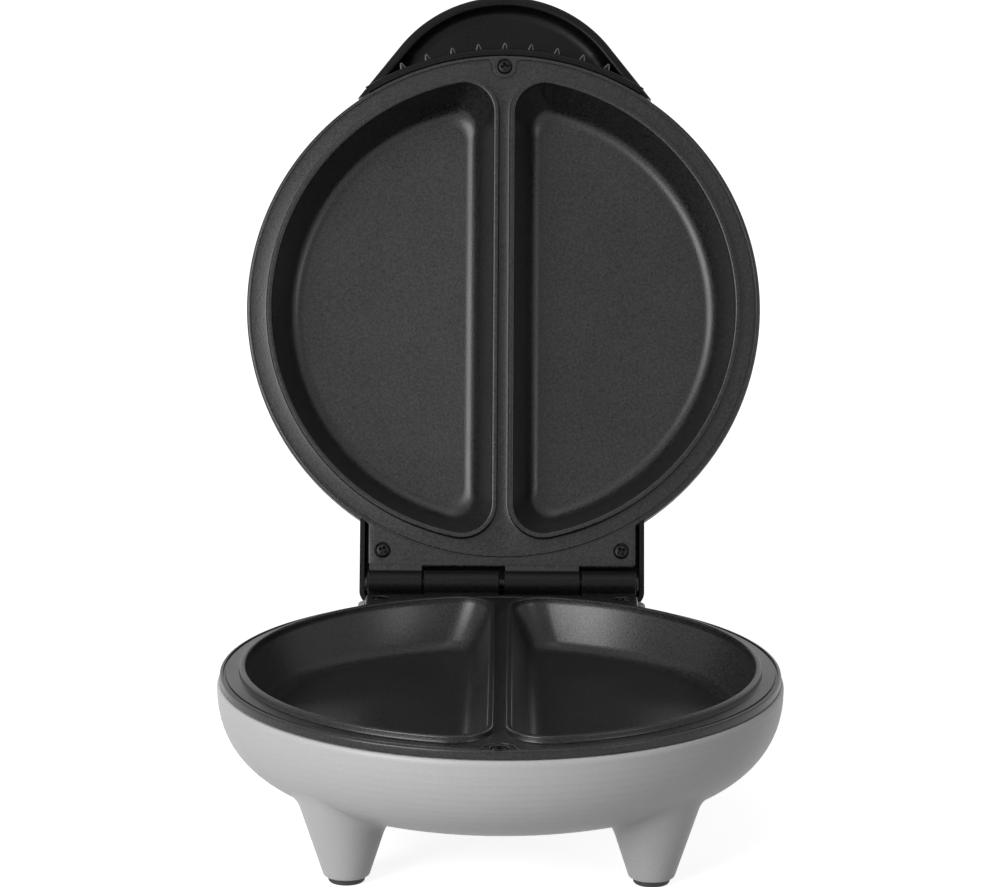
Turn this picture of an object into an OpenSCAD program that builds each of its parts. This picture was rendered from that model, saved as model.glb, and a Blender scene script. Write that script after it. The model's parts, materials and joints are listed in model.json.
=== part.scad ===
// Electric omelette maker: a silver bowl on four cone feet, two equal cast plates with
// half-moon pockets, and a lid that turns on one hinge pin. Millimetres, +Z up.
// The origin is on the ground, half-way from the front to the back of the open object.
// The front is at -Y.
// Each half is drawn in a plate frame: Z = 0 on the flat land of the plate, +Z towards
// the other half. The lid half is the same frame turned over and opened.

/* [Plates] */
// Radius of each cooking plate
plate_r = 107; // [104:0.5:110]
// Thickness of the cast flange
plate_t = 3.2; // [2.6:0.1:4]
// Width of the land between the plate edge and a pocket
land_w = 9.8; // [9.2:0.1:11]
// Distance between the straight sides of the two pockets
divider_w = 9.2; // [8:0.2:14]
// Depth of a pocket below the land
pocket_depth = 17.7; // [14:0.1:18.5]
// Lean of the pocket walls, in degrees
pocket_draft = 23; // [16:1:24]
// Radius between the pocket wall and its floor
floor_fillet = 5; // [3:0.5:5.5]
// Corner radius of a pocket at the land, seen from above
corner_r = 12.4; // [12:0.2:16]
// Thickness of the pocket walls and floor
pocket_wall = 2.6; // [2.2:0.1:3]
// Height of the bead round each pocket
bead_h = 2.55; // [1.5:0.05:3]
// Width of the bead
bead_w = 2.4; // [1.8:0.1:3]
// Gap between the beads of the two plates when closed
mate_gap = 0.3; // [0.2:0.05:0.6]
// Distance from the plate edge to the middle of the groove
groove_inset = 1.6; // [1.4:0.1:2]
// Width of the groove
groove_w = 0.8; // [0.5:0.1:1.2]
// Depth of the groove
groove_d = 0.6; // [0.4:0.1:1]

/* [Hinge] */
// Distance from the plate edge back to the hinge axis
hinge_back = 9.8; // [9.4:0.2:13]
// Radius of the hinge pin
pin_r = 2; // [1.6:0.1:2.3]
// Radial play between the pin and the knuckles
pin_play = 0.05; // [0.03:0.01:0.08]
// Wall of a knuckle round its bore
knuckle_wall = 3.3; // [2.6:0.1:3.5]
// Half of the width over all four knuckles
knuckle_span = 55.6; // [50:0.2:58]
// Length of an outer knuckle
outer_knuckle = 22.6; // [16:0.2:28]
// Gap between two neighbouring knuckles
knuckle_gap = 0.6; // [0.4:0.1:1]
// Gap between the two inner knuckles
centre_gap = 2.1; // [1:0.1:4]
// Angle of the open lid from closed, in degrees
lid_open = 109.1; // [98:0.1:110]

/* [Screws] */
// Radius of the plate screws' shanks
screw_r = 1.4; // [1.2:0.1:1.6]
// Radius of the plate screws' heads
head_r = 3; // [2.6:0.1:3.2]
// Height of the plate screws' heads
head_h = 1.5; // [1.2:0.1:1.6]
// Length of the plate screws below the head
screw_len = 10; // [7:0.5:11]
// Distance from the plate edge in to the front screw
front_screw_in = 3.8; // [3.6:0.1:4.4]
// Distance from the ends of the knuckles in to the lug screws
lug_screw_in = 5.9; // [5:0.1:9]
// Distance from the hinge axis forward to the lug screws
lug_screw_fwd = 13.9; // [13.4:0.1:15]

/* [Shells] */
// Overhang of the bowl and of the lid past the plate edge
rim_over = 1.1; // [0.9:0.1:2]
// Radius of the flat middle of a bowl
bowl_flat_r = 44.6; // [42:0.2:50]
// Wall of the bowls
wall = 2.4; // [2:0.1:2.6]
// Wall of the black hood round the hinge
hood_t = 2; // [1.6:0.1:2.4]
// Seam between a plate and the rim of its shell
rim_gap = 0.5; // [0.3:0.1:0.8]
// Depth of the lid frame below its rim, where the lid cover starts
frame_depth = 13.4; // [13.2:0.2:14.4]
// Gap left at the hood's rear edge when the open lid rests on the bracket
stop_gap = 0.35; // [0.3:0.05:0.6]

/* [Feet] */
// Height of the bowl's underside over the ground
foot_clear = 22.6; // [19:0.2:28]
// Distance from the bowl's widest part in to the front feet
foot_in = 27.3; // [26:0.1:34]
// Angle of the front feet from straight ahead, in degrees
foot_angle = 44.2; // [36:0.1:50]
// Distance from the side of the bracket in to the rear feet
rear_foot_in = 19.2; // [19:0.1:26]
// Distance from the hinge axis forward to the rear feet
rear_foot_fwd = 26; // [26:0.2:34]
// Radius of a foot at its end
foot_r = 8.5; // [8.2:0.1:9.5]
// Half-angle of the foot cones, in degrees
foot_taper = 18; // [12:0.5:18.5]
// Radius of the round lower edge of a foot
foot_edge = 1.2; // [0.6:0.1:1.2]
// Radius of a rubber pad
pad_r = 6.8; // [5:0.1:7.2]
// Height of pad that shows under a foot
pad_show = 2.4; // [1.6:0.1:4]

/* [Handle] */
// Reach of the handle beyond the plate edge
handle_reach = 28; // [24:0.5:32]
// Radius of the handle's front edge
handle_r = 56.6; // [52:0.2:60]
// Thickness of the handle's top
handle_t = 2.6; // [2:0.1:3.2]
// Width of the down-turned lip
lip_w = 4.2; // [3.6:0.1:6]
// Height of the lip, with the handle's top
lip_h = 9; // [6:0.5:10]
// Height of one grip ridge
ridge_h = 2.6; // [1.5:0.1:3]
// Angle between two grip ridges, in degrees
ridge_pitch = 5.7; // [5:0.1:6.2]
// Number of grip ridges
ridge_count = 9; // [5:2:9]

/* [Heating] */
// Radius of the heating element's ring
element_ring_r = 60; // [57:0.5:61]
// Radius of the element's tube
element_r = 3.3; // [3.1:0.1:3.6]
// Radius of the heat reflectors
reflector_r = 80; // [79:0.5:82]
// Thickness of the reflectors
reflector_t = 0.6; // [0.4:0.1:0.8]
// Gap between the element and the reflector
reflector_gap = 5.6; // [4.6:0.1:6]
// Room for the leads between a reflector and the floor of its bowl
lead_room = 7.4; // [7:0.1:11]

/* [Lamps] */
// Radius of a lamp lens where it passes the lid cover
lens_r = 3.95; // [3:0.05:4.4]
// Distance of the lenses from the centre plane
lens_x = 9; // [8:0.1:12]
// Distance of the lenses in front of the plate centre
lens_y = 36; // [34:0.5:38]
// Radius of a neon lamp
lamp_r = 2.2; // [1.8:0.1:2.3]
// Length of a neon lamp
lamp_len = 14; // [13:0.5:16]

/* [Hidden] */
$fn = 96;

// Colours, as the photo shows them
silver = [0.72, 0.72, 0.73];
coated = [0.2, 0.2, 0.2];
black = [0.07, 0.07, 0.07];
steel = [0.6, 0.6, 0.62];
foil = [0.8, 0.81, 0.82];

// Margin by which cutting bodies pass the faces that they cut
eps = 1;
// Gap in joints that stay fixed
fit = 0.05;

// Heights in the plate frame
rim_z = -plate_t - rim_gap;
shoulder_drop = 2;
shoulder_in = 1;
shoulder_z = rim_z - shoulder_drop;
split_z = rim_z - frame_depth;
floor_z = -pocket_depth;
under_z = floor_z - pocket_wall;
element_z = under_z - element_r;
reflector_z = under_z - 2 * element_r - reflector_gap;
inner_z = reflector_z - reflector_t - lead_room;
bowl_z = inner_z - wall;
bowl_depth = rim_z - bowl_z;

// Form of the bowls: how round the wall is and how soon it turns into the floor
bowl_r = plate_r + rim_over;
bowl_round = 0.6;
bowl_rise = 0.9;
bowl_steps = 20;

// Places in plan
land_z = foot_clear + bowl_depth - rim_z;
pocket_r = plate_r - land_w;
hinge_y = plate_r + hinge_back;
hinge_h = bead_h + mate_gap / 2;
front_screw_y = plate_r - front_screw_in;
lug_screw_y = hinge_y - lug_screw_fwd;
lug_screw_x = knuckle_span - lug_screw_in;
plate_screws = [[0, -front_screw_y], [-lug_screw_x, lug_screw_y], [lug_screw_x, lug_screw_y]];

// The whole depth, to whole millimetres, is centred on the origin
back_reach = max([for (p = bowl_section(0, 0, 90)) open_y(-p[0], p[1])]);
origin_y = round((back_reach - bowl_r) / 2);

// Knuckles and lug
knuckle_r = pin_r + knuckle_wall;
knuckle_play = 1.75;
lug_edge = hinge_y - knuckle_r - knuckle_play;
lug_half = knuckle_span + 0.4;
inner_end = knuckle_span - outer_knuckle - knuckle_gap;
own_knuckles = [[knuckle_span - outer_knuckle, knuckle_span], [-inner_end, -centre_gap / 2]];

// Hood of the lid frame and bracket of the base shell, round the hinge
hood_half = knuckle_span + 1.6 + hood_t;
hood_back = hinge_y + knuckle_r + 1.2 + hood_t;
hood_edge = hinge_h - 1;
hood_corner = 5;
hood_round = 10;
bracket_y = open_y(hood_back, hood_edge) - stop_gap;
bracket_z = bowl_z + 9.4;
bracket_corner = 7;
bracket_round = 10;

// Seats, bosses and pilot holes
boss_r = 4;
pilot_r = screw_r + fit;
pilot_len = screw_len + 1;
seat_in = plate_r - 4.2;
seat_out = plate_r - 2;
head_sink = head_h + 0.1;
head_play = 0.3;
edge_round = 0.9;
tab_r = 5;

// Feet: position and height of the wide end of each cone
front_foot_x = (bowl_r - foot_in) * sin(foot_angle);
front_foot_y = -(bowl_r - foot_in) * cos(foot_angle);
rear_foot_x = hood_half - rear_foot_in;
rear_foot_y = hinge_y - rear_foot_fwd;
front_foot_top = rim_z - 16;
rear_foot_top = bracket_z + 2;
feet = [
    [-front_foot_x, front_foot_y, front_foot_top], [front_foot_x, front_foot_y, front_foot_top],
    [-rear_foot_x, rear_foot_y, rear_foot_top], [rear_foot_x, rear_foot_y, rear_foot_top]
];
pad_sink = 1.2;
pad_play = 0.1;

// Small screws of the parts inside
small_r = 1.1;
small_head_r = 2;
small_head_h = 1.1;

// Underside of the plates
seat_w = 9;
seat_h = 3;
clamp_angles = [25, 155, 205, 335];
clamp_w = 8;
clamp_t = 0.8;
clamp_hole = element_r + 3.5;
clamp_foot = element_r + 5.6;
bend_room = element_ring_r - sqrt(pow(element_ring_r, 2) - pow(clamp_w / 2, 2));
cold_angle = 25;
leg_r = element_r + 0.3;
leg_z = reflector_z - reflector_t - 0.6;
bush_r = 2.7;
bush_h = 2.2;
tail_r = 1;
tail_len = leg_z - inner_z - 2.4;
studs = [[62, 42], [-62, 42], [62, -42], [-62, -42]];
stud_r = 3;
stud_pilot = 7;
web_half = 16;
web_front = -13.5;
web_back = 31;
web_h = 5;
stat_r = 6.5;
stat_h = 9;
stat_hole = 9.5;
fuse_y = 22;
fuse_r = 2.2;
fuse_len = 12;
fuse_z = under_z - fuse_r - 0.25;
fuse_hole = fuse_r + 3;
reflector_hole = 14;

// Lid cover
split_out = bowl_point(bowl_turn(split_z, 0), 0)[0];
split_in = bowl_point(bowl_turn(split_z, wall), wall)[0];
flange_in = plate_r - 10;
flange_z = split_z + 2;
flange_t = 2;
spigot_play = 0.3;
spigot_t = 2;
post_at = plate_r - 7;
post_r = 3.1;
cover_angles = [45, 135, 225, 315];
cover_screw_len = 8;

// Lamps behind the lenses, and the holder that is pegged to the cover
lamp_z = inner_z + 0.9 + 0.25 + lamp_r;
holder_w = 5;
holder_y = -lens_y + lamp_len - 5;
holder_peg_x = 4.2;

// Handle
tip_y = plate_r + handle_reach;
arc_y = tip_y - handle_r;
flank_turn = 51.8;
flank_len = 36;
handle_half = 32;
visor_z = split_z + 3;
lip_proud = 0.4;
boss_out = bowl_r + 3.4;
boss_near = rim_z + 2.1;
boss_far = split_z + 1;
ridge_half = 2.3;
handle_screw_z = rim_z - 7;
handle_screw_turn = 2 * ridge_pitch;
handle_spot_r = small_head_r + 0.15;
handle_screw_at = bowl_point(bowl_turn(handle_screw_z + handle_spot_r, wall), wall)[0] + 0.05;
handle_screw_len = 5;

// Cord gland, terminal block and leads
gland_z = rim_z - 12.8;
gland_hole = 5;
gland_flange = 6.6;
gland_bore = 3.2;
block_w = 30;
block_d = 13;
block_h = 9;
block_z = bracket_z + wall;
block_y = bracket_y - bracket_round - fit;
lead_r = 1.1;
lead_bend_r = 1.35 * lead_r;
lead_z = reflector_z - reflector_t - lead_room / 2;

// Places the centre of the base plate in front of the origin
module in_depth() translate([0, -origin_y, 0]) children();

// Places a plate-frame piece in the base
module on_base() in_depth() translate([0, 0, land_z]) children();

// Places what is drawn round the hinge axis
module on_hinge() in_depth() translate([0, hinge_y, land_z + hinge_h]) children();

// Places a plate-frame piece in the lid, turned over and opened about the hinge axis
module on_lid() {
    on_hinge()
        rotate([-lid_open, 0, 0])
            translate([0, -hinge_y, hinge_h])
                rotate([0, 180, 0])
                    children();
}

// Repeats a piece on both sides of the centre plane
module both_sides() {
    children();
    mirror([1, 0, 0]) children();
}

// How far back a point of the lid's plate frame comes when the lid is open
function open_y(y, z) =
    hinge_y + (y - hinge_y) * cos(lid_open) + (hinge_h - z) * sin(lid_open);

// Points of a part circle
function arc(cx, cy, r, a0, a1, n) =
    [for (i = [0:n]) let (a = a0 + (a1 - a0) * i / n) [cx + r * cos(a), cy + r * sin(a)]];

// A straight round rod between two points, its ends drawn back by gap
module rod(from, to, r, gap) {
    d = to - from;
    translate(from)
        rotate([0, atan2(norm([d[0], d[1]]), d[2]), atan2(d[1], d[0])])
            translate([0, 0, gap]) cylinder(r = r, h = norm(d) - 2 * gap, $fn = 24);
}

// A lead through a list of points, thicker where it bends
module lead(path) {
    for (i = [1:len(path) - 1])
        rod(path[i - 1], path[i], lead_r, 0.7 * lead_r);
    for (p = path)
        translate(p) sphere(r = lead_bend_r, $fn = 24);
}

// A YZ outline extruded along X
module along_x(x0, x1) {
    translate([x0, 0, 0]) rotate([90, 0, 90]) linear_extrude(x1 - x0) children();
}

// A ring of rectangular section
module ring(r0, r1, z0, z1) {
    rotate_extrude() translate([r0, z0]) square([r1 - r0, z1 - z0]);
}

// A part of a round bar bent in a circle
module bent_bar(at, r, start, sweep) {
    rotate([0, 0, start])
        rotate_extrude(angle = sweep) translate([at, 0]) circle(r = r, $fn = 32);
}

// A cross-head screw: pan head above Z = 0, shank below
module screw(len, r, hr, hh) {
    slot_w = 0.3 * hr;
    difference() {
        union() {
            translate([0, 0, -len]) cylinder(r = r, h = len + 0.2, $fn = 32);
            rotate_extrude($fn = 48)
                polygon(concat([[0, 0], [hr, 0]],
                    [for (a = [0:22.5:67.5]) [hr * cos(a), hh * (0.45 + 0.55 * sin(a))]],
                    [[0, hh]]));
        }
        for (a = [0, 90])
            rotate([0, 0, a])
                translate([-0.6 * hr, -slot_w / 2, hh * 0.4])
                    cube([1.2 * hr, slot_w, hh]);
    }
}

module small_screw(len) {
    screw(len, small_r, small_head_r, small_head_h);
}

// Point on a bowl's section at the turn t (0 at the shoulder, 90 at the floor)
function bowl_point(t, inset) = [
    bowl_flat_r + (bowl_r - inset - bowl_flat_r) * pow(cos(t), bowl_round),
    shoulder_z - (bowl_depth - shoulder_drop - inset) * pow(sin(t), bowl_rise)
];

// Turn at which a bowl's section passes the height z
function bowl_turn(z, inset) =
    asin(pow((shoulder_z - z) / (bowl_depth - shoulder_drop - inset), 1 / bowl_rise));

// Section of a bowl between the turns t0 and t1
function bowl_section(inset, t0, t1) =
    [for (i = [0:bowl_steps]) bowl_point(t0 + (t1 - t0) * i / bowl_steps, inset)];

// Rounded shoulder between the rim and the widest part
function shoulder_section(inset) = [
    for (a = [0:22.5:67.5])
        [bowl_r - inset - shoulder_in * (1 - sin(a)), rim_z - shoulder_drop * (1 - cos(a))]
];

// Outer body of a whole bowl, filled
module bowl_body(inset) {
    rotate_extrude()
        polygon(concat([[0, rim_z]], shoulder_section(inset), bowl_section(inset, 0, 90),
            [[0, bowl_z + inset]]));
}

// Hollow of a bowl, open through its rim
module bowl_hollow() {
    rotate_extrude()
        polygon(concat([[0, hood_edge + eps], [bowl_r - wall, hood_edge + eps]],
            bowl_section(wall, 0, 90), [[0, inner_z]]));
}

// Ledge inside a rim that carries the plate
module plate_seat() {
    join = bowl_r - wall + 0.4;
    rotate_extrude()
        polygon([[seat_in, -plate_t], [seat_out, -plate_t], [seat_out, rim_z], [join, rim_z],
            [join, rim_z - 5], [seat_in, rim_z - 3]]);
}

// Room for the plate's edge above a rim
module seam_cut() {
    ring(seat_out, plate_r + rim_gap, rim_z, hood_edge + eps);
}

// Plan outline behind the plate, with round rear corners
module back_outline(half, back, corner) {
    front = plate_r / 2;
    translate([-half, front]) square([2 * half, back - corner - front]);
    translate([corner - half, front]) square([2 * (half - corner), back - front]);
    for (s = [-1, 1])
        translate([s * (half - corner), back - corner]) circle(r = corner);
}

// Side outline of the bracket or hood: square at the open edge, round at the far rear edge
module side_outline(back, z_open, z_far, r) {
    front = plate_r / 2;
    polygon(concat([[front, z_open], [back, z_open]],
        arc(back - r, z_far + r, r, 0, -90, 8), [[front, z_far]]));
}

// Bracket of the base shell under the hinge lug, filled
module bracket_body(inset, z_open) {
    intersection() {
        translate([0, 0, bowl_z])
            linear_extrude(z_open - bowl_z)
                back_outline(hood_half - inset, bracket_y - inset, bracket_corner - inset);
        along_x(-hood_half, hood_half)
            side_outline(bracket_y - inset, z_open, bracket_z + inset, bracket_round - inset);
    }
}

// Hood of the lid frame round the hinge, filled
module hood_body(inset, z_open) {
    intersection() {
        translate([0, 0, split_z])
            linear_extrude(z_open - split_z)
                back_outline(hood_half - inset, hood_back - inset, hood_corner - inset);
        along_x(-hood_half, hood_half)
            side_outline(hood_back - inset, z_open, split_z + inset, hood_round - inset);
    }
}

// Radius of a foot's cone at the height z over the ground
function foot_at(z, inset) = foot_r - inset + (z - pad_show) * tan(foot_taper);

// One foot: a cone with its wide end in the shell and a round lower edge
module foot_cone(p) {
    top = p[2] + land_z;
    e = foot_edge;
    mid = foot_at(pad_show + e, 0) - e / cos(foot_taper);
    translate([p[0], p[1], -land_z])
        rotate_extrude()
            polygon(concat([[0, pad_show]], arc(mid, pad_show + e, e, -90, -foot_taper, 4),
                [[foot_at(top, 0), top], [0, top]]));
}

// Hollow of a foot
module foot_hollow(p) {
    top = p[2] + land_z;
    low = pad_show + pad_sink + wall;
    translate([p[0], p[1], low - land_z])
        cylinder(r1 = foot_at(low, wall), r2 = foot_at(top, wall), h = top - low);
}

module lower_shell() {
    color(silver)
    on_base()
    difference() {
        union() {
            difference() {
                union() {
                    bowl_body(0);
                    bracket_body(0, rim_z);
                    for (p = feet) foot_cone(p);
                }
                bowl_hollow();
                bracket_body(wall, hood_edge + eps);
                for (p = feet) foot_hollow(p);
            }
            plate_seat();
            intersection() {
                for (p = plate_screws)
                    translate([p[0], p[1], bowl_z]) cylinder(r = boss_r, h = -plate_t - bowl_z);
                union() {
                    bowl_body(0);
                    bracket_body(0, -plate_t);
                }
            }
        }
        seam_cut();
        for (p = plate_screws)
            translate([p[0], p[1], -plate_t - pilot_len]) cylinder(r = pilot_r, h = pilot_len + eps);
        for (p = feet)
            translate([p[0], p[1], pad_show - eps - land_z])
                cylinder(r = pad_r + pad_play, h = pad_sink + eps);
        translate([0, bracket_y + eps, gland_z])
            rotate([90, 0, 0]) cylinder(r = gland_hole, h = wall + 2 * eps);
    }
}

// Carries a section, given as [distance outwards, height] points, round a half-moon pocket.
// The round corners stand out by a hair, so that no two faces meet at a tangent.
module pocket_sweep(section) {
    x0 = divider_w / 2 + corner_r;
    r0 = pocket_r - corner_r;
    half_angle = acos(x0 / r0) + 0.05;
    y0 = sqrt(r0 * r0 - x0 * x0);
    z0 = section[0][1];
    z1 = section[len(section) - 1][1];
    hair = 0.1;
    over = 0.3;
    inner = 3;
    intersection() {
        rotate([0, 0, -half_angle])
            rotate_extrude(angle = 2 * half_angle)
                polygon(concat([[0, z0]], [for (p = section) [r0 + p[0], p[1]]], [[0, z1]]));
        translate([x0, -2 * r0, z0 - eps]) cube([2 * r0, 4 * r0, z1 - z0 + 2 * eps]);
    }
    translate([x0, y0 + over, 0])
        rotate([90, 0, 0])
            linear_extrude(2 * (y0 + over))
                mirror([1, 0]) polygon(concat([[-inner, z0]], section, [[-inner, z1]]));
    for (s = [-1, 1])
        translate([x0 - hair, s * (y0 + hair), 0])
            rotate_extrude() polygon(concat([[0, z0]], section, [[0, z1]]));
}

// Section of a pocket wall: floor, fillet, leaning wall up to the height top
function pocket_section(offset, drop, top) =
    let (slope = tan(pocket_draft),
        turn = 90 - pocket_draft,
        edge = corner_r + offset,
        f = floor_fillet + drop,
        u0 = edge - (pocket_depth + drop) * slope - f * tan(turn / 2))
    concat(arc(u0, floor_z - drop + f, f, -90, turn - 90, 5), [[edge + top * slope, top]]);

// Inside of a pocket, with a round lip at the top of its bead
module pocket_cut() {
    r = 0.6;
    pocket_sweep(concat(pocket_section(0, 0, 0), arc(corner_r + r, bead_h - r, r, 180, 90, 3),
        [[corner_r + r, bead_h + eps]]));
}

module pocket_shell() {
    pocket_sweep(pocket_section(pocket_wall, pocket_wall, -plate_t / 2));
}

module bead() {
    r = 0.6;
    u = corner_r + bead_w;
    pocket_sweep(concat([[u, -plate_t / 2]], arc(u - r, bead_h - r, r, 0, 90, 3)));
}

// Tab of the outer lip round the front screw
module tab_outline(grow) {
    translate([0, -front_screw_y]) circle(r = tab_r + grow);
    translate([-tab_r - grow, -plate_r - eps])
        square([2 * (tab_r + grow), plate_r + eps - front_screw_y]);
}

// Groove inside the outer lip, led round the tab
module groove() {
    r = plate_r - groove_inset;
    translate([0, 0, -groove_d])
        linear_extrude(groove_d + eps) {
            difference() {
                circle(r = r + groove_w / 2);
                circle(r = r - groove_w / 2);
                tab_outline(0);
            }
            intersection() {
                difference() {
                    tab_outline(groove_w);
                    tab_outline(0);
                }
                circle(r = r + groove_w / 2);
            }
        }
}

// Knuckles of one plate: its outer one at +X, its inner one at -X
module knuckles() {
    for (k = own_knuckles)
        difference() {
            union() {
                translate([k[0], hinge_y, hinge_h])
                    rotate([0, 90, 0]) cylinder(r = knuckle_r, h = k[1] - k[0]);
                along_x(k[0], k[1])
                    polygon([[lug_edge - eps, 0], [hinge_y, 0], [hinge_y, hinge_h - knuckle_r],
                        [lug_edge - eps, -plate_t]]);
            }
            translate([k[0] - eps, hinge_y, hinge_h])
                rotate([0, 90, 0]) cylinder(r = pin_r + pin_play, h = k[1] - k[0] + 2 * eps);
        }
}

// Ring pads under the pocket floors that hold the element
module element_seat() {
    intersection() {
        ring(element_ring_r - seat_w, element_ring_r + seat_w, under_z - seat_h, floor_z - 1);
        both_sides()
            translate([divider_w / 2 + corner_r, -plate_r, under_z - seat_h - eps])
                cube([plate_r, 2 * plate_r, seat_h + pocket_wall + eps]);
    }
}

// Casting of one plate, the same for base and lid
module plate_casting() {
    difference() {
        union() {
            rotate_extrude()
                polygon(concat([[0, -plate_t], [plate_r, -plate_t]],
                    arc(plate_r - edge_round, -edge_round, edge_round, 0, 90, 4), [[0, 0]]));
            translate([-lug_half, plate_r / 2, -plate_t])
                cube([2 * lug_half, lug_edge - plate_r / 2, plate_t]);
            both_sides() {
                bead();
                pocket_shell();
            }
            translate([-web_half, web_front, under_z]) cube([2 * web_half, web_back - web_front, web_h]);
            element_seat();
            for (p = studs)
                translate([p[0], p[1], reflector_z]) cylinder(r = stud_r, h = floor_z - 1 - reflector_z);
        }
        both_sides() pocket_cut();
        groove();
        for (p = plate_screws) {
            translate([p[0], p[1], -plate_t - eps]) cylinder(r = screw_r + 0.3, h = plate_t + 2 * eps);
            translate([p[0], p[1], -head_sink]) cylinder(r = head_r + head_play, h = head_sink + eps);
        }
        translate([0, 0, element_z]) bent_bar(element_ring_r, element_r + fit, 0, 360);
        at_cold_ends()
            translate([0, 0, under_z - seat_h - eps]) cylinder(r = leg_r + 0.8, h = seat_h + eps);
        for (p = studs)
            translate([p[0], p[1], reflector_z - eps]) cylinder(r = pilot_r, h = stud_pilot + eps);
        for (a = clamp_angles, s = [-1, 1])
            rotate([0, 0, a])
                translate([element_ring_r + s * clamp_hole, 0, under_z - seat_h - eps])
                    cylinder(r = small_r + fit, h = seat_h + eps);
        for (y = [-stat_hole, stat_hole, fuse_y - fuse_hole, fuse_y + fuse_hole])
            translate([0, y, under_z - eps]) cylinder(r = small_r + fit, h = web_h - 1 + eps);
    }
    knuckles();
}

module base_plate() {
    color(coated) on_base() plate_casting();
}

module lid_plate() {
    color(coated) on_lid() plate_casting();
}

// Places a piece at each cold end of the element
module at_cold_ends() {
    for (s = [-1, 1])
        rotate([0, 0, 90 + s * cold_angle])
            translate([element_ring_r, 0, 0])
                children();
}

// Ring element with two legs that turn away from the plate and end in thin pins
module element() {
    translate([0, 0, element_z])
        bent_bar(element_ring_r, element_r, 90 + cold_angle, 360 - 2 * cold_angle);
    at_cold_ends() {
        rotate_extrude()
            polygon(concat([[0, leg_z], [leg_r, leg_z]],
                [for (a = [0:15:75]) [leg_r * cos(a), element_z + (element_r - 0.2) * sin(a)]],
                [[0, element_z + element_r - 0.2]]));
        translate([0, 0, leg_z - tail_len]) cylinder(r = tail_r, h = tail_len + eps, $fn = 24);
    }
}

module base_element() {
    color(steel) on_base() element();
}

module lid_element() {
    color(steel) on_lid() element();
}

// Ceramic bushes at the cold ends
module element_bushes() {
    at_cold_ends()
        translate([0, 0, leg_z - bush_h])
            difference() {
                cylinder(r = bush_r, h = bush_h, $fn = 48);
                translate([0, 0, -eps]) cylinder(r = tail_r + fit, h = bush_h + 2 * eps, $fn = 24);
            }
}

module base_element_bushes() {
    color("ivory") on_base() element_bushes();
}

module lid_element_bushes() {
    color("ivory") on_lid() element_bushes();
}

// Sheet saddle over a bar of radius r whose middle is depth below the seat at Z = 0
module saddle(r, depth, foot, hole, width) {
    inner = r + fit;
    outer = inner + clamp_t;
    difference() {
        translate([0, width / 2, 0])
            rotate([90, 0, 0])
                linear_extrude(width)
                    difference() {
                        union() {
                            translate([0, -depth]) circle(r = outer, $fn = 48);
                            translate([-outer, -depth]) square([2 * outer, depth]);
                            translate([-foot, -clamp_t]) square([2 * foot, clamp_t]);
                        }
                        translate([0, -depth]) circle(r = inner, $fn = 48);
                        translate([-inner, -depth]) square([2 * inner, depth + eps]);
                        translate([-foot, 0]) square([2 * foot, outer]);
                    }
        for (s = [-1, 1])
            translate([s * hole, 0, -clamp_t - eps]) cylinder(r = small_r + 0.2, h = clamp_t + 2 * eps);
    }
}

module element_clamps() {
    for (a = clamp_angles)
        rotate([0, 0, a])
            translate([element_ring_r, 0, under_z - seat_h])
                saddle(element_r + bend_room, element_r - seat_h, clamp_foot, clamp_hole, clamp_w);
}

module clamp_screws() {
    for (a = clamp_angles, s = [-1, 1])
        rotate([0, 0, a])
            translate([element_ring_r + s * clamp_hole, 0, under_z - seat_h - clamp_t])
                mirror([0, 0, 1]) small_screw(clamp_t + seat_h - 0.6);
}

module base_element_clamps() {
    color(foil) on_base() element_clamps();
}

module lid_element_clamps() {
    color(foil) on_lid() element_clamps();
}

module base_clamp_screws() {
    color(steel) on_base() clamp_screws();
}

module lid_clamp_screws() {
    color(steel) on_lid() clamp_screws();
}

// Dished reflector behind the element, open in the middle
module reflector() {
    far = reflector_z - reflector_t;
    difference() {
        rotate_extrude()
            polygon([[reflector_hole, reflector_z], [reflector_r - 2, reflector_z],
                [reflector_r, reflector_z + 4], [reflector_r + reflector_t, reflector_z + 4],
                [reflector_r - 2 + reflector_t, far], [reflector_hole, far]]);
        for (p = studs)
            translate([p[0], p[1], far - eps]) cylinder(r = screw_r + 0.2, h = reflector_t + 2 * eps);
        at_cold_ends()
            translate([0, 0, far - eps]) cylinder(r = leg_r + 0.8, h = reflector_t + 2 * eps);
    }
}

module reflector_screws() {
    for (p = studs)
        translate([p[0], p[1], reflector_z - reflector_t])
            mirror([0, 0, 1]) screw(reflector_t + stud_pilot - 1, screw_r, head_r - 0.2, head_h);
}

module base_reflector() {
    color(foil) on_base() reflector();
}

module lid_reflector() {
    color(foil) on_lid() reflector();
}

module base_reflector_screws() {
    color(steel) on_base() reflector_screws();
}

module lid_reflector_screws() {
    color(steel) on_lid() reflector_screws();
}

// Disc thermostat with two ears against the web, and two blades
module thermostat() {
    far = under_z - stat_h;
    color("dimgray")
    on_base()
    difference() {
        union() {
            translate([0, 0, far]) cylinder(r = stat_r, h = stat_h);
            translate([-3.2, -stat_hole - 3, under_z - clamp_t]) cube([6.4, 2 * stat_hole + 6, clamp_t]);
            for (x = [-3.4, 2.6])
                translate([x, -2, far - 3.4]) cube([0.8, 4, 4]);
        }
        for (s = [-1, 1])
            translate([0, s * stat_hole, under_z - clamp_t - eps])
                cylinder(r = small_r + 0.2, h = clamp_t + 2 * eps);
    }
}

module thermal_fuse() {
    color("dimgray")
    on_base()
    translate([-fuse_len / 2, fuse_y, fuse_z])
        rotate([0, 90, 0]) cylinder(r = fuse_r, h = fuse_len, $fn = 48);
}

module fuse_clip() {
    color(foil)
    on_base()
    translate([0, fuse_y, under_z])
        rotate([0, 0, 90]) saddle(fuse_r, under_z - fuse_z, fuse_hole + 2.2, fuse_hole, 6);
}

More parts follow.
